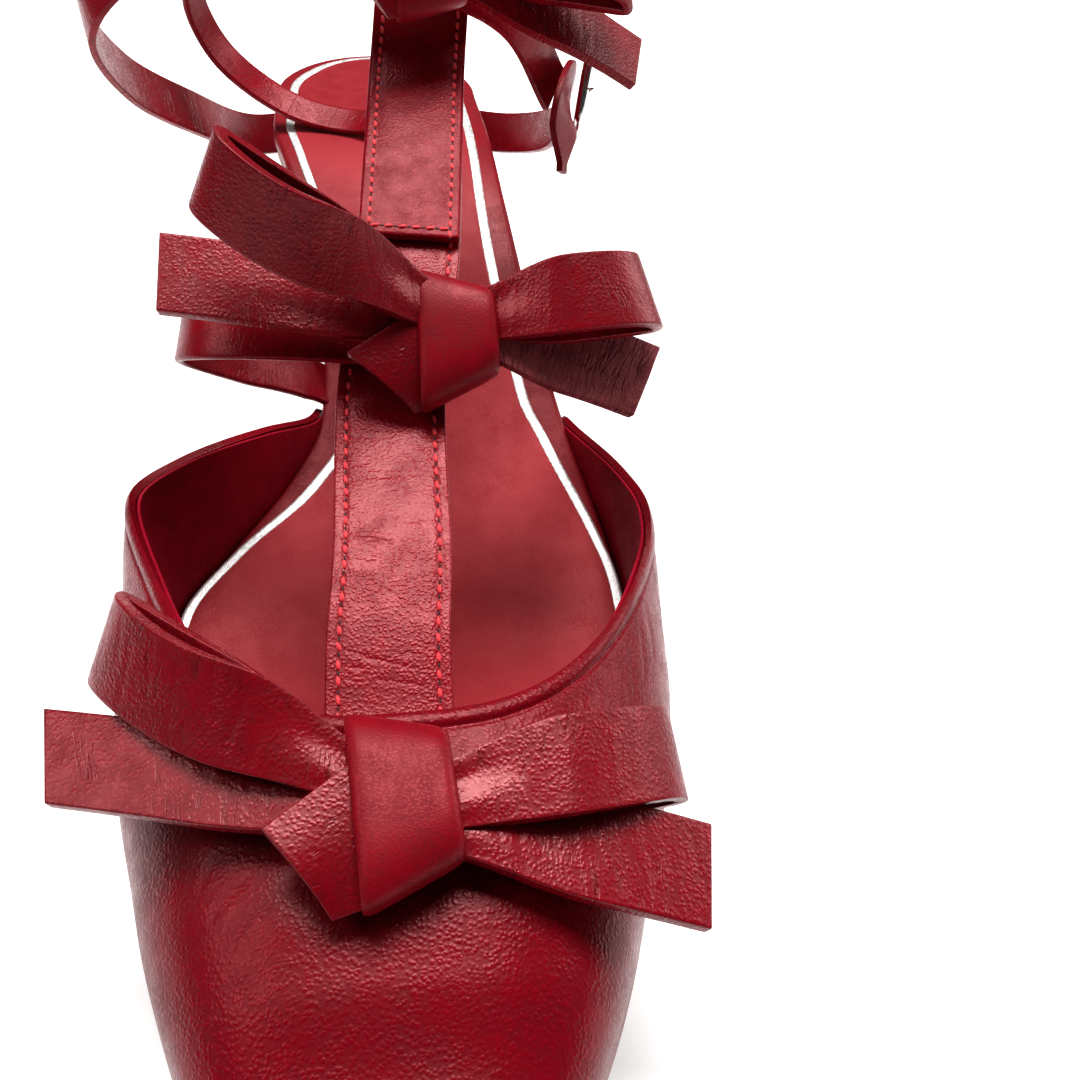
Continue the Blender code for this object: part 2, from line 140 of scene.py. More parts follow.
def footHeight(station):
    climb = 1.0 - ease(station, last["seatStation"], last["ballStation"])
    seat = last["seatSlope"] * max(last["seatStation"] - station, 0.0)
    spring = max(station - last["springStation"], 0.0) / (last["length"] - last["springStation"])
    return last["ballHeight"] + last["heelRise"] * climb + seat + last["toeSpring"] * spring ** 2


# helpers for meshes: every sheet carries a UV map in metres, so patterns keep their size on the leather

def gridMesh(across, along, size):
    mesh = bmesh.new()
    bmesh.ops.create_grid(mesh, x_segments=across, y_segments=along, size=0.5)
    run = mesh.loops.layers.uv.new("run")
    for face in mesh.faces:
        for loop in face.loops:
            loop[run].uv = ((loop.vert.co.x + 0.5) * size[0], (loop.vert.co.y + 0.5) * size[1])
    return mesh


def sheetMesh(across, along, size, shape):
    mesh = gridMesh(across, along, size)
    for vert in mesh.verts:
        vert.co = shape(vert.co.x + 0.5, vert.co.y + 0.5)
    bmesh.ops.remove_doubles(mesh, verts=mesh.verts, dist=1e-6)
    return mesh


def stackMesh(across, along, size, levels):
    # closed solid: a grid extruded level by level, each level placed by its own function
    mesh = gridMesh(across, along, size)
    levelOf = {vert: 0 for vert in mesh.verts}
    cap = mesh.faces[:]
    for level in range(1, len(levels)):
        grown = bmesh.ops.extrude_face_region(mesh, geom=cap)["geom"]
        if level > 1:
            bmesh.ops.delete(mesh, geom=[face for face in cap if face.is_valid], context="FACES")
        cap = [item for item in grown if isinstance(item, bmesh.types.BMFace)]
        for item in grown:
            if isinstance(item, bmesh.types.BMVert):
                levelOf[item] = level
    for vert in mesh.verts:
        vert.co = levels[levelOf[vert]](vert.co.x + 0.5, vert.co.y + 0.5)
    bmesh.ops.remove_doubles(mesh, verts=mesh.verts, dist=1e-6)
    bmesh.ops.recalc_face_normals(mesh, faces=mesh.faces)
    return mesh


def faceNormal(shape, u, v, step=0.003):
    across = shape(min(u + step, 1.0), v) - shape(max(u - step, 0.0), v)
    along = shape(u, min(v + step, 1.0)) - shape(u, max(v - step, 0.0))
    return across.cross(along).normalized()


def creaseHeight(creases, across, along):
    # soft troughs with a ridge on both sides; a row holds start, end, width and depth in millimetres
    height = 0.0
    for startAcross, startAlong, endAcross, endAlong, width, depth in creases:
        runAcross = endAcross - startAcross
        runAlong = endAlong - startAlong
        part = (across - startAcross) * runAcross + (along - startAlong) * runAlong
        part = min(max(part / (runAcross ** 2 + runAlong ** 2), 0.0), 1.0)
        off = hypot(across - startAcross - runAcross * part, along - startAlong - runAlong * part) / width
        height -= depth * (1.0 - off * off) * exp(-off * off)
    return height


def creased(shape, creases, width, length):
    if not creases:
        return shape

    def bent(u, v):
        lift = creaseHeight(creases, u * width, v * length)
        return shape(u, v) + faceNormal(shape, u, v) * (lift * mm)
    return bent


def runMarks(spots):
    # distance along a row of points
    marks = [0.0]
    for before, after in zip(spots, spots[1:]):
        marks.append(marks[-1] + (after - before).length)
    return marks


def evened(shape, steps=400):
    # the same strip with v running evenly along its middle line, and its length in millimetres
    marks = runMarks([shape(0.5, step / steps) for step in range(steps + 1)])

    def even(u, v):
        target = v * marks[-1]
        index = min(max(bisect(marks, target) - 1, 0), steps - 1)
        part = (target - marks[index]) / max(marks[index + 1] - marks[index], 1e-9)
        return shape(u, (index + part) / steps)
    return even, marks[-1] / mm


def addPiece(name, mesh, material, nodes):
    data = bpy.data.meshes.new(name)
    mesh.to_mesh(data)
    mesh.free()
    data.shade_smooth()
    data.materials.append(material)
    piece = bpy.data.objects.new(name, data)
    bpy.context.scene.collection.objects.link(piece)
    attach(piece, "root")
    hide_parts(*nodes)
    return piece


def addWall(piece, thickness, offset):
    solid = piece.modifiers.new("wall", "SOLIDIFY")
    solid.thickness = thickness * mm
    solid.offset = offset


def roundEdges(piece, width, segments=3):
    soft = piece.modifiers.new("round", "BEVEL")
    soft.width = width * mm
    soft.segments = segments
    soft.profile = 0.5
    soft.limit_method = "ANGLE"
    soft.angle_limit = radians(48.0)


# helpers for materials

def addNode(tree, kind, inputs=None, **settings):
    node = tree.nodes.new(kind)
    for name, value in settings.items():
        setattr(node, name, value)
    for key, value in (inputs or {}).items():
        socket = node.inputs[key]
        if isinstance(value, bpy.types.NodeSocket):
            tree.links.new(value, socket)
        else:
            socket.default_value = value
    return node


def mathNode(tree, operation, first, second=0.0):
    return addNode(tree, "ShaderNodeMath", {0: first, 1: second}, operation=operation).outputs[0]


def ramp(tree, value, low, high, start=0.0, end=1.0):
    inputs = {"Value": value, "From Min": low, "From Max": high, "To Min": start, "To Max": end}
    return addNode(tree, "ShaderNodeMapRange", inputs, interpolation_type="SMOOTHSTEP").outputs["Result"]


def mixColour(tree, factor, first, second):
    return addNode(tree, "ShaderNodeMix", {0: factor, 6: first, 7: second}, data_type="RGBA").outputs[2]


def noiseNode(tree, vector, scale, detail):
    return addNode(tree, "ShaderNodeTexNoise", {"Vector": vector, "Scale": scale, "Detail": detail})


def wandered(tree, vector, scale, detail, reach):
    # the same place, pulled about by a noise
    noise = noiseNode(tree, vector, scale, detail).outputs["Color"]
    centred = addNode(tree, "ShaderNodeVectorMath", {0: noise, 1: (0.5, 0.5, 0.5)}, operation="SUBTRACT")
    pulled = addNode(tree, "ShaderNodeVectorMath", {0: centred.outputs[0], "Scale": reach}, operation="SCALE")
    moved = addNode(tree, "ShaderNodeVectorMath", {0: vector, 1: pulled.outputs[0]}, operation="ADD")
    return moved.outputs[0]


def bumpNode(tree, height, depth):
    return addNode(tree, "ShaderNodeBump", {"Height": height, "Distance": depth * mm, "Strength": 1.0})


def newGroup(name, inputs, outputs):
    group = bpy.data.node_groups.new(name, "ShaderNodeTree")
    for label, kind in inputs:
        group.interface.new_socket(label, in_out="INPUT", socket_type=kind)
    for label in outputs:
        group.interface.new_socket(label, in_out="OUTPUT", socket_type="NodeSocketFloat")
    return group, group.nodes.new("NodeGroupInput").outputs, group.nodes.new("NodeGroupOutput").inputs


def makeGrainGroup():
    # soft pebbles of uneven size, with a finer crumb on them
    inputs = (("Place", "NodeSocketVector"), ("Cells", "NodeSocketFloat"))
    group, source, sink = newGroup("leatherGrain", inputs, ("Height", "Valleys"))
    warped = wandered(group, source["Place"], 900.0, 2.0, 0.00025)
    inputs = {"Vector": warped, "Scale": source["Cells"], "Smoothness": 0.35}
    cells = addNode(group, "ShaderNodeTexVoronoi", inputs, feature="SMOOTH_F1")
    pebbles = ramp(group, cells.outputs["Distance"], 0.7, 0.1)
    crumb = noiseNode(group, warped, mathNode(group, "MULTIPLY", source["Cells"], 1.9), 2.0)
    patch = noiseNode(group, source["Place"], 260.0, 1.0)
    depth = ramp(group, patch.outputs["Fac"], 0.3, 0.7, 0.5, 1.0)
    raised = mathNode(group, "MULTIPLY", pebbles, depth)
    fine = mathNode(group, "MULTIPLY", crumb.outputs["Fac"], 0.5)
    group.links.new(mathNode(group, "ADD", raised, fine), sink["Height"])
    between = mathNode(group, "SUBTRACT", 1.0, pebbles)
    group.links.new(mathNode(group, "MULTIPLY", between, depth), sink["Valleys"])
    return group


def makeCreaseGroup():
    # fine creases that lie across a strip, in patches
    inputs = (("Run", "NodeSocketVector"), ("Across", "NodeSocketFloat"), ("Along", "NodeSocketFloat"),
              ("Cover", "NodeSocketFloat"))
    group, source, sink = newGroup("fineCreases", inputs, ("Height",))
    warped = wandered(group, source["Run"], 160.0, 1.0, 0.0016)
    stretch = addNode(group, "ShaderNodeCombineXYZ", {"X": source["Across"], "Y": source["Along"], "Z": 1.0})
    laid = addNode(group, "ShaderNodeVectorMath", {0: warped, 1: stretch.outputs[0]}, operation="MULTIPLY")
    lines = noiseNode(group, laid.outputs[0], 1.0, 3.0)
    off = mathNode(group, "ABSOLUTE", mathNode(group, "SUBTRACT", lines.outputs["Fac"], 0.5))
    trough = mathNode(group, "SUBTRACT", 1.0, ramp(group, off, 0.0, 0.05))
    patch = noiseNode(group, source["Run"], 150.0, 1.0)
    upper = mathNode(group, "ADD", source["Cover"], 0.12)
    shown = ramp(group, patch.outputs["Fac"], source["Cover"], upper)
    sunk = mathNode(group, "MULTIPLY", trough, shown)
    group.links.new(mathNode(group, "SUBTRACT", 1.0, sunk), sink["Height"])
    return group


def makeToneGroup():
    # slow drift of colour and gloss over a hide
    group, source, sink = newGroup("hideTone", (("Place", "NodeSocketVector"),), ("Tone",))
    broad = mathNode(group, "MULTIPLY", noiseNode(group, source["Place"], 38.0, 2.0).outputs["Fac"], 0.6)
    small = mathNode(group, "MULTIPLY", noiseNode(group, source["Place"], 420.0, 2.0).outputs["Fac"], 0.4)
    both = mathNode(group, "ADD", broad, small)
    group.links.new(ramp(group, both, 0.36, 0.64), sink["Tone"])
    return group


groups = {"grain": makeGrainGroup(), "creases": makeCreaseGroup(), "tone": makeToneGroup()}


def addGroup(tree, name, inputs):
    return addNode(tree, "ShaderNodeGroup", inputs, node_tree=groups[name])


def newMaterial(name, settings):
    material = bpy.data.materials.new(name)
    material.use_nodes = True
    shader = material.node_tree.nodes["Principled BSDF"]
    for socket, value in settings.items():
        shader.inputs[socket].default_value = value
    return material, material.node_tree, shader


def leatherMaterial(name, look):
    settings = {"Coat Weight": look["coat"], "Coat Roughness": 0.3, "Specular IOR Level": look["specular"],
                "Specular Tint": (*look["tint"], 1.0)}
    material, tree, shader = newMaterial(name, settings)
    spot = addNode(tree, "ShaderNodeTexCoord").outputs["Object"]
    run = addNode(tree, "ShaderNodeUVMap", uv_map="run").outputs["UV"]
    grain = addGroup(tree, "grain", {"Place": spot, "Cells": look["cells"]})
    creases = addGroup(tree, "creases", {"Run": run, "Across": look["across"], "Along": look["along"],
                                         "Cover": look["cover"]})
    tone = addGroup(tree, "tone", {"Place": spot})
    hide = mixColour(tree, tone.outputs["Tone"], (*look["deep"], 1.0), (*look["bright"], 1.0))
    # painted shade: the sock's colour darkens towards the heel seat
    if "heelShade" in look:
        reach = addNode(tree, "ShaderNodeSeparateXYZ", {0: run}).outputs["Y"]
        hide = mixColour(tree, ramp(tree, reach, 0.05, 0.115), (*look["heelShade"], 1.0), hide)
    # painted shade: the base colour darkens towards the valley colour in the grain's pits and in the crease
    # troughs
    pitShade = mathNode(tree, "MULTIPLY", grain.outputs["Valleys"], 0.5)
    sunk = mathNode(tree, "SUBTRACT", 1.0, creases.outputs["Height"])
    troughShade = mathNode(tree, "MULTIPLY", sunk, look["lines"])
    shade = mathNode(tree, "MAXIMUM", pitShade, troughShade)
    tree.links.new(mixColour(tree, shade, hide, (*look["valleyShade"], 1.0)), shader.inputs["Base Color"])
    gloss = ramp(tree, tone.outputs["Tone"], 0.0, 1.0, look["roughness"][1], look["roughness"][0])
    dull = mathNode(tree, "MULTIPLY", grain.outputs["Valleys"], 0.18)
    tree.links.new(mathNode(tree, "ADD", gloss, dull), shader.inputs["Roughness"])
    folded = bumpNode(tree, creases.outputs["Height"], look["crease"])
    grained = bumpNode(tree, grain.outputs["Height"], look["grain"])
    tree.links.new(folded.outputs["Normal"], grained.inputs["Normal"])
    tree.links.new(grained.outputs["Normal"], shader.inputs["Normal"])
    return material


def grainedMaterial(name, look):
    # thread, metal, foil, rubber and sole leather: two colours and one noise bump
    material, tree, shader = newMaterial(name, look["sockets"])
    spot = addNode(tree, "ShaderNodeTexCoord").outputs["Object"]
    mapped = addNode(tree, "ShaderNodeMapping", {"Vector": spot, "Scale": look["stretch"]}).outputs[0]
    noise = noiseNode(tree, mapped, look["scale"], 4.0)
    colour = mixColour(tree, ramp(tree, noise.outputs["Fac"], 0.35, 0.65), (*look["deep"], 1.0),
                       (*look["bright"], 1.0))
    tree.links.new(colour, shader.inputs["Base Color"])
    tree.links.new(ramp(tree, noise.outputs["Fac"], 0.3, 0.7, *look["roughness"]), shader.inputs["Roughness"])
    bump = bumpNode(tree, noise.outputs["Fac"], look["bump"])
    tree.links.new(bump.outputs["Normal"], shader.inputs["Normal"])
    return material


# the valley colour is painted shade for grain pits and crease troughs; lines sets how dark the crease troughs
# are painted
redHide = {
    "deep": (0.19, 0.002, 0.009), "bright": (0.25, 0.0035, 0.0135), "valleyShade": (0.085, 0.0008, 0.0035),
    "roughness": (0.19, 0.27), "coat": 0.0, "specular": 0.42, "tint": (1.0, 0.5, 0.5),
    "cells": 1900.0, "grain": 0.04, "across": 520.0, "along": 80.0, "cover": 0.74,
    "crease": 0.015, "lines": 0.5,
}
stripHide = {**redHide, "across": 80.0, "along": 620.0, "cover": 0.5, "crease": 0.04}
# the vamp's red is darker than the other red leather's: painted shade that darkens the toe
vampLeather = leatherMaterial("vamp_leather", {
    **redHide, "deep": (0.15, 0.0013, 0.0075), "bright": (0.198, 0.0023, 0.011), "specular": 0.3})
ribbonLeather = leatherMaterial("ribbon_leather", {
    **stripHide, "deep": (0.17, 0.002, 0.008), "bright": (0.22, 0.0032, 0.012), "specular": 0.58,
    "cells": 1950.0, "grain": 0.038, "crease": 0.03, "lines": 0.75})
ribbonBack = leatherMaterial("ribbon_back_leather", {
    **stripHide, "deep": (0.2, 0.045, 0.052), "bright": (0.27, 0.062, 0.07), "roughness": (0.48, 0.6),
    "specular": 0.4, "cells": 2400.0, "grain": 0.03, "cover": 0.2, "along": 480.0, "crease": 0.16})
knotLeather = leatherMaterial("knot_leather", {
    **redHide, "roughness": (0.3, 0.38), "specular": 0.3, "cells": 3000.0, "grain": 0.012, "crease": 0.004})
strapLeather = leatherMaterial("strap_leather", {
    **stripHide, "cells": 2100.0, "grain": 0.055, "cover": 0.58, "crease": 0.045})
upperStrapLeather = leatherMaterial("upper_strap_leather", {
    **stripHide, "specular": 0.2, "cells": 2000.0, "grain": 0.036, "cover": 0.8, "crease": 0.02})
bandLeather = leatherMaterial("band_leather", {
    **stripHide, "specular": 0.3, "cells": 2400.0, "grain": 0.02, "along": 420.0, "cover": 0.45,
    "crease": 0.035})
# the lining's red is brighter than the outer leather's: painted light that lifts the shaded inside of the
# upper
liningLeather = leatherMaterial("lining_leather", {
    **redHide, "deep": (0.29, 0.0025, 0.02), "bright": (0.34, 0.004, 0.025), "roughness": (0.42, 0.5),
    "specular": 0.25, "cells": 3000.0, "grain": 0.008, "crease": 0.01})
# the sock's red is pinker and brighter than the outer leather's: partly its own paler finish, partly painted
# light against the shade under the straps and bows
sockLeather = leatherMaterial("sock_leather", {
    **redHide, "deep": (0.37, 0.031, 0.04), "bright": (0.41, 0.036, 0.045), "heelShade": (0.19, 0.009, 0.015),
    "valleyShade": (0.3, 0.022, 0.029), "roughness": (0.42, 0.46), "specular": 0.4, "cells": 3200.0,
    "grain": 0.008, "crease": 0.004})
borderLeather = leatherMaterial("border_leather", {
    **redHide, "deep": (0.21, 0.008, 0.015), "bright": (0.25, 0.012, 0.019), "roughness": (0.3, 0.38),
    "cells": 2800.0, "grain": 0.01, "crease": 0.004})
heelLeather = leatherMaterial("heel_leather", {**redHide, "crease": 0.01})
evenGrain = {"stretch": (1.0, 1.0, 1.0), "sockets": {}}
redThread = grainedMaterial("red_thread", {
    **evenGrain, "deep": (0.6, 0.012, 0.022), "bright": (0.8, 0.03, 0.045), "scale": 6000.0,
    "roughness": (0.5, 0.7), "bump": 0.05, "sockets": {"Sheen Weight": 0.3}})
# near-black needle holes: painted shade inside the holes
needleHoleShade = grainedMaterial("needle_hole", {
    **evenGrain, "deep": (0.02, 0.001, 0.002), "bright": (0.05, 0.002, 0.004), "scale": 3000.0,
    "roughness": (0.7, 0.9), "bump": 0.02})
silverFoil = grainedMaterial("silver_foil", {
    **evenGrain, "deep": (0.72, 0.71, 0.69), "bright": (0.95, 0.945, 0.93), "scale": 1500.0,
    "roughness": (0.3, 0.5), "bump": 0.035, "sockets": {"Metallic": 0.55}})
buckleMetal = grainedMaterial("buckle_metal", {
    **evenGrain, "deep": (0.6, 0.59, 0.58), "bright": (0.74, 0.73, 0.71), "scale": 900.0,
    "roughness": (0.08, 0.16), "bump": 0.003, "sockets": {"Metallic": 1.0}})
soleLeather = grainedMaterial("sole_leather", {
    **evenGrain, "deep": (0.2, 0.095, 0.05), "bright": (0.33, 0.18, 0.1), "scale": 160.0,
    "stretch": (3.0, 0.6, 3.0), "roughness": (0.42, 0.58), "bump": 0.05})
tipRubber = grainedMaterial("tip_rubber", {
    **evenGrain, "deep": (0.018, 0.015, 0.015), "bright": (0.035, 0.03, 0.03), "scale": 1400.0,
    "roughness": (0.55, 0.75), "bump": 0.06})
print("materials ready")


# upper

upper = {
    "outerWall": 1.25,
    "liningGap": 0.02,
    "liningWall": 0.5,
    "liningStart": 0.21,
    "liningDrop": 0.7,
    "seam": 0.4,
    "rimWidth": 2.2,
    "rimLift": 0.32,
    "rimTrough": 0.16,
    "rimZone": 6.0,
    "rimRun": 36.0,  # millimetres of leather for one radian round the ridge
    "edgeRound": 0.6,
    "liningRound": 0.24,
    "sidePower": 0.6,
    "crownPower": 0.8,
    "flare": 0.025,
    "flareEdge": 0.8,
    "flareAngle": radians(35.0),
    "medialFlare": (5.0, 140.0, 15.0),
    "lateralFlare": (1.6, 145.0, 15.0),
    "throat": 191.3,
    "lateralWing": (118.2, 1.18, 6.0),
    "medialWing": (118.0, 1.72, 8.5),
    "tuck": 0.85,
    "tuckFade": radians(9.0),
    "wingFade": radians(4.5),
    "insoleThick": 3.6,
    "degree": 0.6,  # millimetres of leather for one degree round the ridge
    "creases": (  # start and end as degrees round the foot and station, then width and depth
        (116, 189, 118, 197, 0.5, 0.10),
        (120, 186, 122, 193, 0.5, 0.12),
        (123, 184, 126, 192, 0.5, 0.12),
        (127, 181, 129, 188, 0.5, 0.10),
        (130, 178, 133, 187, 0.6, 0.12),
        (135, 174, 137, 182, 0.5, 0.10),
        (139, 170, 142, 178, 0.6, 0.10),
        (112, 191, 113, 197, 0.5, 0.08),
        (146, 160, 151, 166, 0.6, 0.07),
        (60, 188, 57, 197, 0.6, 0.08),
        (52, 184, 48, 194, 0.7, 0.10),
        (66, 205, 58, 208, 0.8, 0.10),
        (70, 209, 60, 212, 0.8, 0.12),
        (74, 213, 66, 216, 0.9, 0.10),
        (108, 210, 116, 213, 0.9, 0.08),
    ),
}


def insoleBottom(station):
    return footHeight(station) - upper["insoleThick"]


def insoleEdge(station, side):
    return side * planCentre(station) + planHalf(station)


def upperPoint(angle, station):
    # outer face of the upper: angle 0 is its medial lower edge, pi the lateral one
    low = min(angle, pi - angle)
    side = -1.0 if angle < 0.5 * pi else 1.0
    lean = ease(low, 0.0, upper["flareAngle"])
    drop = rounded((last["length"] - station) / last["toeDrop"])
    slant = 0.5 * (insoleEdge(station + 1.0, side) - insoleEdge(station - 1.0, side))
    # the ends of the wings hug the insole
    tuck = upper["tuck"] * exp(-(low / upper["tuckFade"]) ** 2) * (1.0 - ease(station, 116, 136))
    cover = (last["gap"] + upper["seam"] + last["wall"] - tuck) * sqrt(1.0 + slant ** 2)
    base = (planHalf(station) + cover) * rounded((last["length"] - station) / last["toeRound"])
    spread, middle, reach = upper["medialFlare"] if side < 0.0 else upper["lateralFlare"]
    flare = upper["flareEdge"] * drop + spread * exp(-((station - middle) / reach) ** 2)
    width = base * (1.0 + upper["flare"] * lean) + flare * lean
    x = planCentre(station) + side * width * max(cos(low), 0.0) ** upper["sidePower"]
    z = insoleBottom(station) + crownHeight(station) * drop * sin(low) ** upper["crownPower"]
    return x, z


def topline(angle):
    # station where the upper ends: wings low at the sides, throat over the ridge
    wing, sweep, reach = upper["lateralWing"] if angle > 0.5 * pi else upper["medialWing"]
    back = reach * exp(-min(angle, pi - angle) / upper["wingFade"])
    return wing - back + (upper["throat"] - wing) * sin(angle) ** sweep


def upperStation(u, v):
    # the last fifth of the rows lies close together at the rim
    edge = topline(pi * u)
    zone = upper["rimZone"]
    if v > 0.8:
        return edge + zone * (1.0 - v) / 0.2
    return last["length"] - (last["length"] - edge - zone) * (v / 0.8) ** 1.6


def upperSheet(u, v):
    station = upperStation(u, v)
    x, z = upperPoint(pi * u, station)
    return place(x, station, z)


def rimHeight(u, station):
    # rolled edge of the topline, with the dent of its seam behind it
    angle = pi * u
    slant = (topline(min(angle + 0.01, pi)) - topline(max(angle - 0.01, 0.0))) / 0.02 / upper["rimRun"]
    off = (station - topline(angle)) / sqrt(1.0 + slant ** 2)
    width = upper["rimWidth"]
    bead = upper["rimLift"] * max(1.0 - (2.0 * off / width - 1.0) ** 2, 0.0)
    return bead - upper["rimTrough"] * exp(-((off - width - 0.15) / 0.35) ** 2)


def makeUpper():
    degree = upper["degree"]
    creases = [(row[0] * degree, row[1], row[2] * degree, *row[3:]) for row in upper["creases"]]

    def outer(u, v):
        station = upperStation(u, v)
        lift = creaseHeight(creases, 180.0 * u * upper["degree"], station) + rimHeight(u, station)
        return upperSheet(u, v) + faceNormal(upperSheet, u, v) * (lift * mm)

    def lining(u, v):
        end = 1.0 - 0.2 * upper["liningDrop"] / upper["rimZone"]
        reach = upper["liningStart"] + (end - upper["liningStart"]) * v
        depth = (upper["outerWall"] + upper["liningGap"]) * mm
        return upperSheet(u, reach) - upperNormal(u, reach) * depth

    def upperNormal(u, v):
        u = min(max(u, 0.01), 0.99)
        normal = faceNormal(upperSheet, u, v)
        return normal if normal.z > -0.2 and normal.length > 0.5 else -normal

    shell = sheetMesh(220, 160, (0.15, 0.11), outer)
    vamp = addPiece("vamp_leather_shell", shell, vampLeather, ["vamp"])
    addWall(vamp, upper["outerWall"], -1.0)
    roundEdges(vamp, upper["edgeRound"], 5)
    under = sheetMesh(110, 60, (0.14, 0.09), lining)
    inside = addPiece("vamp_lining", under, liningLeather, ["vamp"])
    addWall(inside, upper["liningWall"], -1.0)
    roundEdges(inside, upper["liningRound"], 3)


makeUpper()
print("upper ready")


# insole, sock, silver line and outsole

soles = {
    "insoleTip": 244.3,
    "insoleLip": 3.0,
    "insoleRound": 1.2,
    "insoleCurve": ((0.1, 0.72), (0.35, 0.35), (0.72, 0.1)),  # inset, then drop, of the rounded upper edge
    "insoleBevel": 0.8,
    "soleTip": 246.2,
    "foreSole": 4.1,
    "waistSole": 2.6,
    "soleMargin": 1.6,
    "waistMargin": -0.4,
    "lineWidth": 1.9,
    "lineThick": 0.14,
    "sockThick": 0.22,
    "sockRound": 0.16,
    "soleEdge": ((0.8, 0.0), (0.25, 0.25), (0.0, 0.8)),  # inset, then rise, of the rounded lower edge
    "soleBevel": 0.3,
}
lineRows = (  # station, then how far the middle of the silver line is from the medial and the lateral edge
    (0, 3.9, 3.9), (60, 3.8, 4.4), (84, 4.2, 5.5), (112, 5.6, 6.1), (118, 5.3, 5.0), (122, 4.9, 4.4),
    (128, 3.75, 3.4), (132, 2.65, 2.75), (136, 1.75, 2.1), (141, 1.25, 1.4), (147, 1.15, 1.15),
    (247, 1.15, 1.15),
)
lineMedial = curveThrough(lineRows, 1)
lineLateral = curveThrough(lineRows, 2)


def outline(u, v, tip, margin, inset):
    # a point of a sole layer: u runs across it and v from heel to toe
    station = tip * 0.5 * (1.0 - cos(pi * v))
    ends = rounded(station / last["heelRound"]), rounded((tip - station) / last["toeRound"])
    half = planHalf(station) * ends[0] * ends[1]
    grown = half + margin(station) * rounded(half / 10.0)
    depth = inset(u, station) if callable(inset) else inset
    narrow = grown * (1.0 - depth / max(grown, 18.0))
    middle = 0.5 * tip
    drawn = middle + (station - middle) * (1.0 - depth / middle)
    return planCentre(station) + (2.0 * u - 1.0) * narrow, drawn


def noMargin(station):
    return 0.0


def soleMargin(station):
    waist = soles["waistMargin"]
    return waist + (soles["soleMargin"] - waist) * ease(station, 108, 122)


def soleTop(station):
    return insoleBottom(station) - last["gap"]


def soleBottom(station):
    thick = soles["waistSole"] + (soles["foreSole"] - soles["waistSole"]) * ease(station, 108, 150)
    return soleTop(station) - thick


def soleLayer(tip, margin, inset, height):
    def point(u, v):
        x, station = outline(u, v, tip, margin, inset)
        return place(x, station, height(station))
    return point


def makeSoles():
    tip = soles["insoleTip"]
    edge = ((0.0, soles["insoleLip"]), (0.0, soles["insoleRound"]), *soles["insoleCurve"])
    board = [soleLayer(tip, noMargin, soles["insoleBevel"], insoleBottom)]
    for inset, drop in edge:
        board.append(soleLayer(tip, noMargin, inset, lambda station, drop=drop: footHeight(station) - drop))
    board.append(soleLayer(tip, noMargin, soles["insoleRound"], footHeight))
    addPiece("insole_border", stackMesh(20, 200, (0.07, 0.25), board), borderLeather, ["insole"])

    def lineInset(shift):
        def inset(u, station):
            # the distance is square to the edge, which slants at the waist
            side = -1.0 if u < 0.5 else 1.0
            slant = 0.5 * (insoleEdge(station + 1.0, side) - insoleEdge(station - 1.0, side))
            middle = lineMedial(station) if u < 0.5 else lineLateral(station)
            return (middle + shift) * sqrt(1.0 + slant ** 2 * ease(station, 60, 90))
        return inset

    def line(u, v):
        # round the insole: out along the medial edge and back along the lateral one
        side = 0.0 if v < 0.5 else 1.0
        along = 2.0 * v if v < 0.5 else 2.0 - 2.0 * v
        x, station = outline(side, along, tip, noMargin, lineInset(soles["lineWidth"] * (u - 0.5)))
        return place(x, station, footHeight(station) + soles["lineThick"])

    foil = sheetMesh(4, 560, (0.0019, 0.55), line)
    silver = addPiece("insole_silver_line", foil, silverFoil, ["insole"])
    addWall(silver, 2.0 * soles["lineThick"], 0.0)

    sock = soleLayer(tip, noMargin, lineInset(0.5 * soles["lineWidth"] - 0.1),
                     lambda station: footHeight(station) + soles["sockThick"])
    cover = addPiece("insole_sock", sheetMesh(30, 200, (0.06, 0.24), sock), sockLeather, ["insole"])
    addWall(cover, 2.0 * soles["sockThick"], 0.0)
    roundEdges(cover, soles["sockRound"], 3)

    tip = soles["soleTip"]
    bevel = soles["soleBevel"]
    bottom = [soleLayer(tip, soleMargin, inset, lambda station, rise=rise: soleBottom(station) + rise)
              for inset, rise in soles["soleEdge"]]
    bottom.append(soleLayer(tip, soleMargin, 0.0, lambda station: soleTop(station) - bevel))
    bottom.append(soleLayer(tip, soleMargin, bevel, soleTop))
    addPiece("outsole_leather", stackMesh(20, 200, (0.08, 0.25), bottom), soleLeather, ["outsole"])


makeSoles()
print("soles ready")


# heel

heel = {
    "middle": 0.9,
    "breast": 46.0,
    "back": 0.9,
    "baseBack": 7.0,
    "baseBreast": 39.0,
    "baseHalf": 15.5,
    "waist": 1.7,
    "tipThick": 5.0,
    "levels": 28,
    "round": 0.7,
    "tipBevel": (0.5, 0.4),  # at the floor and under the heel
}


def heelLevel(part):
    growth = part ** heel["waist"]

    def point(u, v):
        topStation = heel["back"] + (heel["breast"] - heel["back"]) * v
        baseStation = heel["baseBack"] + (heel["baseBreast"] - heel["baseBack"]) * v
        topHalf = planHalf(topStation) - 1.0
        half = rounded(v / 0.5) * (heel["baseHalf"] + (topHalf - heel["baseHalf"]) * growth)
        station = baseStation + (topStation - baseStation) * growth
        floor = heel["tipThick"] + last["gap"]
        return place(heel["middle"] + (2.0 * u - 1.0) * half, station,
                     floor + (soleBottom(station) - last["gap"] - floor) * part)
    return point


def tipLevel(height, inset):
    def point(u, v):
        middle = 0.5 * (heel["baseBack"] + heel["baseBreast"])
        reach = 0.5 * (heel["baseBreast"] - heel["baseBack"]) - inset
        half = (heel["baseHalf"] - inset) * rounded(v / 0.5)
        return place(heel["middle"] + (2.0 * u - 1.0) * half, middle + (2.0 * v - 1.0) * reach, height)
    return point


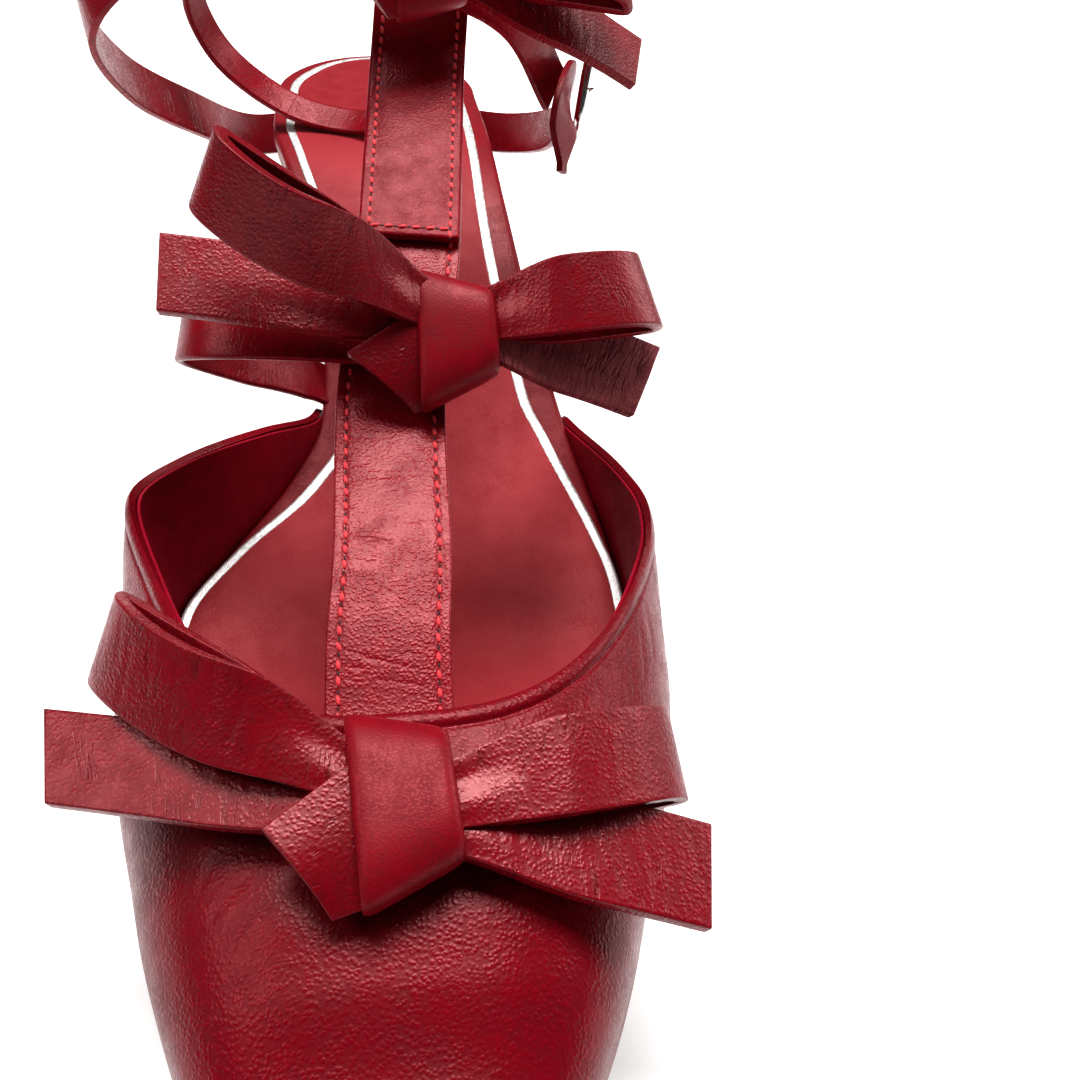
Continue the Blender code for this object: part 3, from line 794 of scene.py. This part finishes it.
def makeHeel():
    def backDense(level):
        # rows lie closer together at the round back
        return lambda u, v: level(u, v ** 1.7)

    levels = [backDense(heelLevel(step / heel["levels"])) for step in range(heel["levels"] + 1)]
    block = stackMesh(20, 60, (0.04, 0.05), levels)
    piece = addPiece("heel_cover", block, heelLeather, ["heel"])
    roundEdges(piece, heel["round"], 4)
    lower, upperEdge = heel["tipBevel"]
    thick = heel["tipThick"]
    rings = ((0.0, lower), (lower, 0.0), (thick - upperEdge, 0.0), (thick, upperEdge))
    top = stackMesh(20, 60, (0.03, 0.03), [backDense(tipLevel(*ring)) for ring in rings])
    addPiece("heel_top_piece", top, tipRubber, ["heel_tip"])


makeHeel()
print("heel ready")


# straps

straps = {
    "thick": 1.4,
    "bandThick": 1.2,
    "tWidth": 15.5,
    "bandWidth": 9.5,
    "ankleWidth": 9.0,
    "wrapWidth": 6.5,
    "instepAxis": (8.0, 118, 30),
    "instepLine": Vector((0.0, -0.84, -0.54)).normalized(),
    "ankleAxis": (0.0, 55, 76),
    "wrapAxis": (-8.0, 62, 84),
    "anklePoint": 7.0,
    "ridgeStart": (-2.4, (202, 196, 190), 0.15),  # where the T-strap's hidden end lies under the ridge
    "stitchInset": 1.6,
    "stitchPitch": (2.3, 1.9),
    "stitchLength": 1.45,
    "stitchThick": 0.62,
    "stitchLean": 0.14,
    "stitchLift": 0.05,
    "holeSize": (0.85, 0.42, 0.22),
    "holeSink": 0.02,
    "groove": 0.18,
    "grooveWidth": 0.42,
}
tLowerRows = (
    (-2.0, 180, 36.6), (-1.0, 168.5, 41.2), (0.0, 143.5, 50.5), (3.6, 124, 62.4), (5.2, 110, 70.2),
)
tUpperRows = (
    (3.9, 122.5, 65.4), (5.2, 110, 72.3), (7.0, 93, 82.0), (8.6, 83, 92.0), (9.3, 80.5, 101.0),
)
instepRows = (
    (-7.6, 107.0, 31.2), (-11.0, 107.0, 32.2), (-14.6, 107.5, 34.4), (-18.6, 109.2, 37.4),
    (-24.6, 112.8, 41.6), (-31.4, 121.0, 49.6), (-27.0, 131.0, 55.5), (-12.0, 136.0, 57.2),
    (1.0, 137.5, 56.4), (14.0, 137.0, 55.8), (29.0, 131.0, 52.5), (39.0, 121.0, 47.0),
    (39.0, 112.0, 41.0), (35.6, 107.6, 37.4), (32.2, 105.6, 35.2), (28.8, 105.0, 33.6), (25.4, 105.0, 32.6),
)
ankleRows = (
    (32.8, 74.5, 74.5), (23.6, 83.5, 89.4), (9.0, 86.4, 96.0), (-11.0, 85.5, 98.0), (-32.0, 88.0, 99.0),
    (-45.4, 84.0, 89.0), (-44.4, 66.0, 74.3), (-36.0, 45.0, 61.8), (-28.0, 22.0, 51.0), (-17.0, 2.0, 46.0),
    (0.5, -6.27, 45.0), (18.0, 1.0, 46.5), (30.0, 22.0, 51.0), (36.5, 45.0, 58.6), (37.2, 61.0, 66.8),
    (35.7, 74.0, 75.0), (33.4, 84.0, 74.0), (32.3, 90.5, 64.5),
)
wrapRows = (
    (6.5, 77.4, 97.0), (-12.0, 73.0, 100.5), (-27.0, 63.0, 96.0), (-33.0, 51.0, 86.0), (-29.0, 47.0, 73.6),
    (-17.0, 48.5, 64.6), (-4.0, 52.5, 62.4), (5.0, 60.0, 66.5), (10.5, 69.0, 77.0), (11.5, 77.5, 91.0),
)
lowerCreases = (  # millimetres across and along the lower strap, then width and depth
    (2.2, 47.1, 6.0, 47.5, 0.28, 0.070), (6.4, 47.4, 12.2, 47.8, 0.26, 0.070),
    (4.6, 48.8, 12.0, 48.8, 0.26, 0.063), (2.2, 49.5, 4.5, 49.9, 0.28, 0.056),
    (8.5, 51.4, 13.3, 52.7, 0.28, 0.056), (2.2, 54.7, 6.0, 54.0, 0.30, 0.063),
    (6.0, 44.6, 8.8, 45.7, 0.26, 0.049), (1.8, 45.0, 3.8, 44.6, 0.26, 0.042),
    (2.3, 38.7, 6.6, 38.4, 0.28, 0.049), (9.4, 39.8, 13.3, 40.4, 0.26, 0.049),
    (9.7, 34.9, 13.2, 34.9, 0.26, 0.035), (2.0, 33.9, 6.2, 33.5, 0.28, 0.049),
    (6.2, 33.5, 7.8, 32.0, 0.28, 0.042), (2.1, 31.4, 5.2, 30.5, 0.30, 0.049),
    (5.2, 30.5, 9.4, 27.9, 0.30, 0.049), (9.7, 30.8, 13.4, 32.0, 0.28, 0.049),
    (1.8, 21.4, 4.8, 20.4, 0.28, 0.070), (4.8, 20.4, 9.0, 19.5, 0.28, 0.070),
    (2.0, 19.2, 4.6, 18.9, 0.28, 0.063), (4.8, 20.1, 11.0, 18.6, 0.30, 0.056),
    (6.4, 17.4, 12.3, 16.2, 0.30, 0.056),
)


def curvePoint(points, value):
    # Catmull-Rom through the points, value counted in rows
    index = min(int(value), len(points) - 2)
    t = value - index
    here = points[index]
    after = points[index + 1]
    before = points[index - 1] if index > 0 else here * 2.0 - after
    beyond = points[index + 2] if index + 2 < len(points) else after * 2.0 - here
    bend = here * (2 * t**3 - 3 * t**2 + 1) + after * (3 * t**2 - 2 * t**3)
    return bend + (after - before) * (0.5 * (t**3 - 2 * t**2 + t)) + (beyond - here) * (0.5 * (t**3 - t**2))


def strapFrame(points, value, facing):
    middle = curvePoint(points, value)
    ahead = curvePoint(points, min(value + 0.01, len(points) - 1))
    behind = curvePoint(points, max(value - 0.01, 0.0))
    tangent = (ahead - behind).normalized()
    return middle, tangent, tangent.cross(facing(middle)).normalized()


def awayFrom(axis, line=Vector((0.0, 0.0, 0.0))):
    centre = place(*axis)
    return lambda point: (point - centre) - line * line.dot(point - centre)


def upward(point):
    return Vector((0.0, -0.55, 0.84))


def strapShape(rows, width, facing, pointLength=0.0):
    points = [place(*row) for row in rows]
    end = len(points) - 1

    def shape(u, v):
        middle, tangent, across = strapFrame(points, v * end, facing)
        taper = 1.0
        if pointLength and v * end > end - 1:
            taper = max(min((points[-1] - middle).length / mm / pointLength, 1.0), 0.25)
        return middle + across * ((u - 0.5) * width * taper * mm)
    return shape


def addStrip(name, shape, width, thick, material, nodes, creases=(), roundness=0.45, cell=0.8):
    even, length = evened(shape)
    bent = creased(even, creases, width, length)
    across = max(int(width / cell), 6)
    mesh = sheetMesh(across, int(length / cell), (width * mm, length * mm), bent)
    piece = addPiece(name, mesh, material, nodes)
    addWall(piece, thick, 0.0)
    roundEdges(piece, roundness, 3)
    return bent, length


def grooved(shape, width):
    # shallow channels along both edges, where the thread pulls the leather in
    def shaped(u, v):
        off = min(u, 1.0 - u) * width - straps["stitchInset"]
        pull = straps["groove"] * exp(-(off / straps["grooveWidth"]) ** 2)
        return shape(u, v) - faceNormal(shape, u, v) * (pull * mm)
    return shaped


def stitchLine(mesh, holes, line, normalAt, pitch):
    # line(t) and normalAt(t) give the seam's place and the leather's face, t from 0 to 1
    steps = 300
    spots = [line(step / steps) for step in range(steps + 1)]
    marks = runMarks(spots)
    count = int(marks[-1] / mm / pitch)
    for number in range(count):
        for sort, target in (("thread", (number + 0.5) / count), ("hole", number / count)):
            index = min(max(bisect(marks, target * marks[-1]) - 1, 1), steps - 1)
            t = index / steps
            run = (spots[index + 1] - spots[index - 1]).normalized()
            normal = normalAt(t)
            side = normal.cross(run).normalized()
            turned = (run + side * straps["stitchLean"]).normalized()
            seat = Matrix((turned, normal.cross(turned), normal)).transposed().to_4x4()
            if sort == "thread":
                seat.translation = spots[index] + normal * straps["stitchLift"] * mm
                size = Vector((straps["stitchLength"], straps["stitchThick"], straps["stitchThick"] * 0.8))
                bmesh.ops.create_uvsphere(mesh, u_segments=8, v_segments=6, radius=0.5 * mm,
                                          matrix=seat @ Matrix.Diagonal(size).to_4x4())
            else:
                seat.translation = spots[index] - normal * straps["holeSink"] * mm
                size = Vector(straps["holeSize"])
                bmesh.ops.create_uvsphere(holes, u_segments=8, v_segments=4, radius=0.5 * mm,
                                          matrix=seat @ Matrix.Diagonal(size).to_4x4())


def sewStrap(name, shape, width, length, thick, pitch, crossAt=None):
    thread = bmesh.new()
    holes = bmesh.new()
    inset = straps["stitchInset"] / width

    def top(u, v):
        return shape(u, v) + faceNormal(shape, u, v) * (0.5 * thick * mm)

    for u in (inset, 1.0 - inset):
        stitchLine(thread, holes, lambda t, u=u: top(u, t), lambda t, u=u: faceNormal(shape, u, t), pitch)
    if crossAt:
        v = crossAt / length
        stitchLine(thread, holes, lambda t: top(inset + (1.0 - 2.0 * inset) * t, v),
                   lambda t: faceNormal(shape, inset + (1.0 - 2.0 * inset) * t, v), pitch)
    addPiece(name + "_stitches", thread, redThread, [name])
    addPiece(name + "_needle_holes", holes, needleHoleShade, [name])


def makeStraps():
    middle, stations, clear = straps["ridgeStart"]
    under = last["wall"] + last["gap"] + 0.5 * straps["thick"] + clear
    ridge = [(middle, at, upperPoint(0.5 * pi, at)[1] - under) for at in stations]
    width = straps["tWidth"]
    thick = straps["thick"]
    lower = grooved(strapShape((*ridge, *tLowerRows), width, upward), width)
    bent, length = addStrip("t_strap_lower_leather", lower, width, thick, strapLeather,
                            ["t_strap_lower"], lowerCreases, 0.5, 0.3)
    sewStrap("t_strap_lower", bent, width, length, thick, straps["stitchPitch"][0])
    upperStrap = grooved(strapShape(tUpperRows, width, upward), width)
    upperCreases = ((10.0, 3.0, 14.0, 3.8, 0.6, 0.10), (9.0, 5.2, 13.5, 6.2, 0.6, 0.10))
    bent, length = addStrip("t_strap_upper_leather", upperStrap, width, thick, upperStrapLeather,
                            ["t_strap_upper"], upperCreases, 0.5)
    sewStrap("t_strap_upper", bent, width, length, thick, straps["stitchPitch"][1], straps["stitchInset"])

    band = strapShape(instepRows, straps["bandWidth"], awayFrom(straps["instepAxis"], straps["instepLine"]))
    ankle = strapShape(ankleRows, straps["ankleWidth"], awayFrom(straps["ankleAxis"]), straps["anklePoint"])
    wrap = strapShape(wrapRows, straps["wrapWidth"], awayFrom(straps["wrapAxis"]))
    for name, shape, wide in (("instep_strap", band, "bandWidth"), ("ankle_strap", ankle, "ankleWidth"),
                              ("ankle_wrap", wrap, "wrapWidth")):
        addStrip(name + "_leather", shape, straps[wide], straps["bandThick"], bandLeather, [name])


makeStraps()
print("straps ready")


# bows: a ribbon's row says where the middle of its end lies, how its width slopes and how far it turns

bowShape = {
    "ribbonWidth": 12.0,
    "loopWidth": 11.0,
    "ribbonThick": 1.7,
    "gather": 0.62,
    "loopHeight": 5.6,
    "loopFlat": 0.7,
    "loopSpread": 1.9,
    "loopBelly": 0.12,
    "arch": 1.5,
    "knotHalf": 5.6,
    "knotHeight": 7.2,
    "pleat": 0.2,
    "sink": 0.6,
    "ribbonRound": 0.78,
    "knotRound": 0.7,
    "foldRound": 0.75,
    "foldSwell": 1.2,
    "knotPower": (0.7, 0.8),
}
bows = {
    "bow_toe": {
        "knot": (-1.0, 207.1, 35.2), "slope": 17.0, "turn": -4.0,
        "knotLeft": (-12.6, 10.6), "knotRight": (-8.9, 6.2),
        "fold": ((-14.9, 0.3, 1.4), (-4.6, -6.0, 1.8), (-8.7, 9.4, -1.8), (-4.0, 9.0, -1.2)),
        "ribbons": (
            ("left_loop", -34.7, 181.4, 40.4, 64.0, 22.0),
            ("right_loop", 30.6, 198.0, 30.2, 28.0, -4.0),
            ("left_tail", -41.0, 193.0, 32.9, 17.0, -8.0),
            ("right_tail", 32.1, 212.5, 26.4, 17.0, 12.0),
        ),
    },
    "bow_instep": {
        "knot": (9.6, 141.0, 60.3), "slope": 44.0, "turn": 0.0,
        "knotLeft": (-8.0, 13.4), "knotRight": (-4.5, 8.0),
        "fold": ((-15.4, 4.8, 1.4), (-4.6, -1.8, 1.8), (-6.6, 12.5, -1.4), (-4.0, 12.0, -1.0)),
        "ribbons": (
            ("left_loop", -22.0, 138.5, 81.6, 92.0, 25.0),
            ("right_loop", 37.3, 138.3, 62.4, 48.0, -15.0),
            ("left_tail", -31.0, 135.3, 66.0, 38.0, 2.0),
            ("right_tail", 37.3, 143.8, 51.1, 38.0, 26.0),
        ),
    },
    "bow_ankle": {
        "knot": (9.6, 90.4, 98.9), "slope": 58.0, "turn": 0.0,
        "knotLeft": (-10.6, 10.6), "knotRight": (-7.4, 7.4),
        "fold": ((-14.0, 2.0, 2.0), (-4.6, -4.0, 1.4), (-7.0, 10.0, 0.6), (-4.0, 9.6, 0.4)),
        "ribbons": (
            ("left_loop", -24.0, 92.0, 110.0, 50.0, 0.0),
            ("right_loop", 41.5, 89.0, 95.5, 50.0, 0.0),
            ("left_tail", -29.0, 96.0, 104.0, 20.0, 0.0),
            ("right_tail", 44.85, 88.0, 82.2, 25.0, 14.0),
        ),
    },
}
# millimetres across and along a ribbon, width and depth; a loop's outer face is its second half
loopCreases = (
    (1.0, 42.0, 8.5, 44.0, 0.5, 0.050), (2.5, 45.5, 9.0, 46.5, 0.5, 0.060),
    (0.8, 48.0, 6.0, 49.5, 0.5, 0.050), (3.0, 51.0, 10.0, 52.0, 0.5, 0.050),
    (1.2, 54.0, 7.0, 55.6, 0.6, 0.060), (2.0, 58.5, 9.5, 59.5, 0.6, 0.050),
    (1.0, 63.0, 6.5, 65.0, 0.6, 0.060), (2.0, 67.5, 9.0, 66.5, 0.6, 0.070),
    (4.0, 70.0, 9.6, 69.2, 0.6, 0.070), (1.5, 72.0, 7.0, 73.0, 0.6, 0.070),
    (5.0, 40.0, 10.2, 41.0, 0.5, 0.040), (6.5, 61.0, 10.2, 62.0, 0.6, 0.040),
)
tailCreases = (
    (1.0, 8.0, 9.0, 10.0, 0.6, 0.070), (3.0, 11.5, 10.5, 12.5, 0.6, 0.060),
    (1.5, 14.5, 8.0, 16.5, 0.6, 0.070), (4.0, 18.0, 11.0, 19.0, 0.5, 0.060),
    (1.0, 20.0, 7.5, 21.5, 0.5, 0.070), (3.0, 23.5, 10.0, 24.5, 0.5, 0.060),
    (1.2, 26.0, 9.5, 28.0, 0.5, 0.060), (4.0, 29.5, 11.0, 30.0, 0.5, 0.050),
    (1.5, 32.0, 7.0, 33.5, 0.5, 0.060), (3.5, 35.5, 10.5, 36.5, 0.5, 0.040),
)


def bowAxes(slope, turn):
    tilt = radians(slope)
    along = Vector((0.0, -cos(tilt), -sin(tilt)))
    normal = Vector((0.0, -sin(tilt), cos(tilt)))
    spin = Matrix.Rotation(-radians(turn), 3, normal)
    return spin @ Vector((1.0, 0.0, 0.0)), spin @ along, normal


def gatherAt(part):
    tight = bowShape["gather"]
    return tight + (1.0 - tight) * ease(part, 0.0, 0.6)


def pleatAt(u, part):
    # the ribbon folds up where the knot pinches it
    pinch = 1.0 - ease(part, 0.12, 0.5)
    return bowShape["pleat"] * pinch * cos(3.0 * pi * u)


def twisted(knotAxes, endAxes, part):
    # width and face directions of a ribbon that turns between its knot and its end
    turn = ease(part, 0.0, 0.9)
    return knotAxes[1].lerp(endAxes[1], turn).normalized(), knotAxes[2].lerp(endAxes[2], turn).normalized()


def ribbonPath(start, end, knotAxes, part):
    # a ribbon leaves its knot flat and rises a little way off
    run = end - start
    rise = run.dot(knotAxes[2])
    return start + run * part - knotAxes[2] * (rise * part * 0.75 * (1.0 - ease(part, 0.0, 0.45)))


def loopShape(start, end, knotAxes, endAxes):
    def shape(u, v):
        turn = 2.0 * pi * v
        part = 0.5 * (1.0 - cos(turn))
        along, normal = twisted(knotAxes, endAxes, part)
        side = bowShape["loopBelly"] if v < 0.5 else 1.0
        swell = -side * bowShape["loopHeight"] * signedPower(sin(turn), bowShape["loopFlat"])
        lift = swell * sqrt(part) * ease(part, 0.05, 0.6) + bowShape["loopSpread"] * (v - 0.5)
        lift += bowShape["arch"] * sin(pi * part) + pleatAt(u, part)
        width = (u - 0.5) * bowShape["loopWidth"] * gatherAt(part)
        return ribbonPath(start, end, knotAxes, part) + (normal * lift + along * width) * mm
    return shape


def tailShape(start, end, knotAxes, endAxes):
    def shape(u, v):
        along, normal = twisted(knotAxes, endAxes, v)
        width = (u - 0.5) * bowShape["ribbonWidth"] * gatherAt(v)
        lift = bowShape["arch"] * sin(pi * v) + pleatAt(u, v)
        return ribbonPath(start, end, knotAxes, v) + (normal * lift + along * width) * mm
    return shape


def knotShape(bow, centre, axes):
    side, along, normal = axes

    def shape(u, v):
        turn = 2.0 * pi * u
        wide = 2.0 * v - 1.0
        top = bow["knotLeft"][0] + (bow["knotRight"][0] - bow["knotLeft"][0]) * v
        base = bow["knotLeft"][1] + (bow["knotRight"][1] - bow["knotLeft"][1]) * v
        soften = 1.0 - 0.22 * abs(wide) ** 9
        reach = signedPower(cos(turn), bowShape["knotPower"][0])
        drawn = 0.5 * (base - top) * reach * (1.0 - 0.05 * abs(wide) ** 9)
        y = 0.5 * (top + base) + drawn
        z = 0.5 * bowShape["knotHeight"] * signedPower(sin(turn), bowShape["knotPower"][1]) * soften
        return centre + (side * (wide * bowShape["knotHalf"]) + along * y + normal * z) * mm
    return shape


def foldShape(bow, centre, axes):
    side, along, normal = axes
    corners = [centre + (side * x + along * y + normal * z) * mm for x, y, z in bow["fold"]]

    def shape(u, v):
        top = corners[0].lerp(corners[1], u)
        base = corners[2].lerp(corners[3], u)
        swell = bowShape["foldSwell"] * sin(pi * v) * (1.0 - 0.6 * u)
        return top.lerp(base, v) + normal * (swell * mm)
    return shape


def makeBow(name, bow):
    centre = place(*bow["knot"])
    axes = bowAxes(bow["slope"], bow["turn"])
    start = centre - axes[2] * bowShape["sink"] * mm
    for kind, x, station, z, slope, turn in bow["ribbons"]:
        loop = kind.endswith("loop")
        make = loopShape if loop else tailShape
        ribbon = make(start, place(x, station, z), axes, bowAxes(slope, turn))
        leather = ribbonBack if name == "bow_instep" and kind == "right_tail" else ribbonLeather
        addStrip(name + "_" + kind, ribbon, bowShape["loopWidth" if loop else "ribbonWidth"],
                 bowShape["ribbonThick"], leather, [name], loopCreases if loop else tailCreases,
                 bowShape["ribbonRound"], 0.45)
    around = 0.5 * mm * (bow["knotLeft"][1] - bow["knotLeft"][0])
    knot = sheetMesh(96, 30, (around, 0.012), knotShape(bow, centre, axes))
    bmesh.ops.holes_fill(knot, edges=knot.edges)
    bmesh.ops.recalc_face_normals(knot, faces=knot.faces)
    piece = addPiece(name + "_knot", knot, knotLeather, [name])
    roundEdges(piece, bowShape["knotRound"], 4)
    fold = sheetMesh(24, 24, (0.012, 0.014), foldShape(bow, centre, axes))
    piece = addPiece(name + "_under_fold", fold, ribbonLeather, [name])
    addWall(piece, bowShape["ribbonThick"], 0.0)
    roundEdges(piece, bowShape["foldRound"], 4)


for bowName, bow in bows.items():
    makeBow(bowName, bow)
print("bows ready")


# buckle

buckle = {
    "row": 15,
    "lift": 2.8,
    "size": (10.0, 16.5),
    "wire": 0.9,
    "prongWire": 0.6,
}


def makeBuckle():
    points = [place(*row) for row in ankleRows]
    middle, run, across = strapFrame(points, buckle["row"], awayFrom(straps["ankleAxis"]))
    facing = across.cross(run)
    middle = middle + facing * buckle["lift"] * mm
    size = buckle["size"]

    def ring(u, v):
        c = cos(2.0 * pi * v)
        s = sin(2.0 * pi * v)
        out = (run * (c / size[0]) + across * (s / size[1])).normalized()
        path = run * (0.5 * size[0] * signedPower(c, 0.62)) + across * (0.5 * size[1] * signedPower(s, 0.62))
        wire = out * cos(2.0 * pi * u) + facing * sin(2.0 * pi * u)
        return middle + (path + wire * buckle["wire"]) * mm
    frameMesh = sheetMesh(20, 120, (0.005, 0.04), ring)
    bmesh.ops.recalc_face_normals(frameMesh, faces=frameMesh.faces)
    addPiece("buckle_frame_wire", frameMesh, buckleMetal, ["buckle_frame"])
    prong = bmesh.new()
    length = size[0] + 2.0 * buckle["wire"]
    bmesh.ops.create_cone(prong, cap_ends=True, segments=24, radius1=buckle["prongWire"] * mm,
                          radius2=0.6 * buckle["prongWire"] * mm, depth=length * mm)
    rims = [edge for edge in prong.edges if len(edge.link_faces) == 2 and edge.calc_face_angle() > 1.0]
    bmesh.ops.bevel(prong, geom=rims, offset=0.25 * mm, segments=4, profile=0.5, affect="EDGES", material=-1)
    seat = Matrix((across, facing, run)).transposed().to_4x4()
    seat.translation = middle + facing * (buckle["wire"] + buckle["prongWire"] - 0.1) * mm
    bmesh.ops.transform(prong, matrix=seat, verts=prong.verts)
    bmesh.ops.recalc_face_normals(prong, faces=prong.faces)
    addPiece("buckle_prong_pin", prong, buckleMetal, ["buckle_prong"])


makeBuckle()
print("buckle ready")


# camera, light and floor

view = {
    "at": (-0.000308, -0.165953, 0.129476),
    "right": (0.9899, -0.1367, 0.0379),
    "up": (0.0518, 0.5968, 0.8007),
    "forward": (0.1321, 0.7907, -0.5978),
    "lens": 36.717,
    "sensor": 36.0,
}


def makeCamera():
    data = bpy.data.cameras.new("photo_camera")
    data.sensor_width = view["sensor"]
    data.lens = view["lens"]
    data.clip_start = 0.002
    camera = bpy.data.objects.new("photo_camera", data)
    turn = Matrix((Vector(view["right"]), Vector(view["up"]), -Vector(view["forward"]))).transposed().to_4x4()
    camera.matrix_world = Matrix.Translation(Vector(view["at"])) @ turn
    bpy.context.scene.collection.objects.link(camera)
    bpy.context.scene.camera = camera


def addSoftbox(name, spot, target, size, power, spread):
    data = bpy.data.lights.new(name, "AREA")
    data.shape = "RECTANGLE"
    data.size, data.size_y = size
    data.energy = power
    data.spread = radians(spread)
    lamp = bpy.data.objects.new(name, data)
    lamp.location = spot
    lamp.rotation_euler = (Vector(target) - Vector(spot)).to_track_quat("-Z", "Y").to_euler()
    bpy.context.scene.collection.objects.link(lamp)


studio = {
    "boxes": (  # name, place, target, size, power and spread
        ("overhead_softbox", (0.03, 0.16, 0.88), (0.0, 0.0, 0.02), (0.66, 0.4), 11.2, 180.0),
        ("left_card", (-0.55, -0.05, 0.6), (0.0, 0.0, 0.03), (0.4, 0.4), 2.0, 180.0),
        ("right_card", (0.65, 0.15, 0.4), (0.0, 0.0, 0.03), (0.4, 0.4), 2.2, 180.0),
        ("floor_light", (0.1, 0.8, 0.7), (0.1, 0.8, 0.0), (1.6, 0.5), 4.0, 80.0),
    ),
    "surround": 0.06,
    "floorHalf": 3.0,
}


def makeStudio():
    for box in studio["boxes"]:
        addSoftbox(*box)
    world = bpy.data.worlds.new("studio")
    world.use_nodes = True
    background = world.node_tree.nodes["Background"].inputs
    background["Color"].default_value = (1.0, 1.0, 1.0, 1.0)
    background["Strength"].default_value = studio["surround"]
    bpy.context.scene.world = world
    bpy.context.scene.view_settings.view_transform = "Standard"
    bpy.context.scene.view_settings.look = "Medium High Contrast"
    mesh = bmesh.new()
    bmesh.ops.create_grid(mesh, x_segments=24, y_segments=24, size=studio["floorHalf"])
    data = bpy.data.meshes.new("floor")
    mesh.to_mesh(data)
    mesh.free()
    floor = bpy.data.objects.new("floor", data)
    # the floor paper glows a little: painted light that lightens its shadows and lights the shoe from below
    data.materials.append(grainedMaterial("glowing_floor_paper", {
        **evenGrain, "deep": (0.74, 0.74, 0.74), "bright": (0.77, 0.77, 0.77), "scale": 30.0,
        "roughness": (0.6, 0.7), "bump": 0.02,
        "sockets": {"Emission Color": (1.0, 1.0, 1.0, 1.0), "Emission Strength": 0.4}}))
    bpy.context.scene.collection.objects.link(floor)


makeCamera()
makeStudio()
print("studio ready")
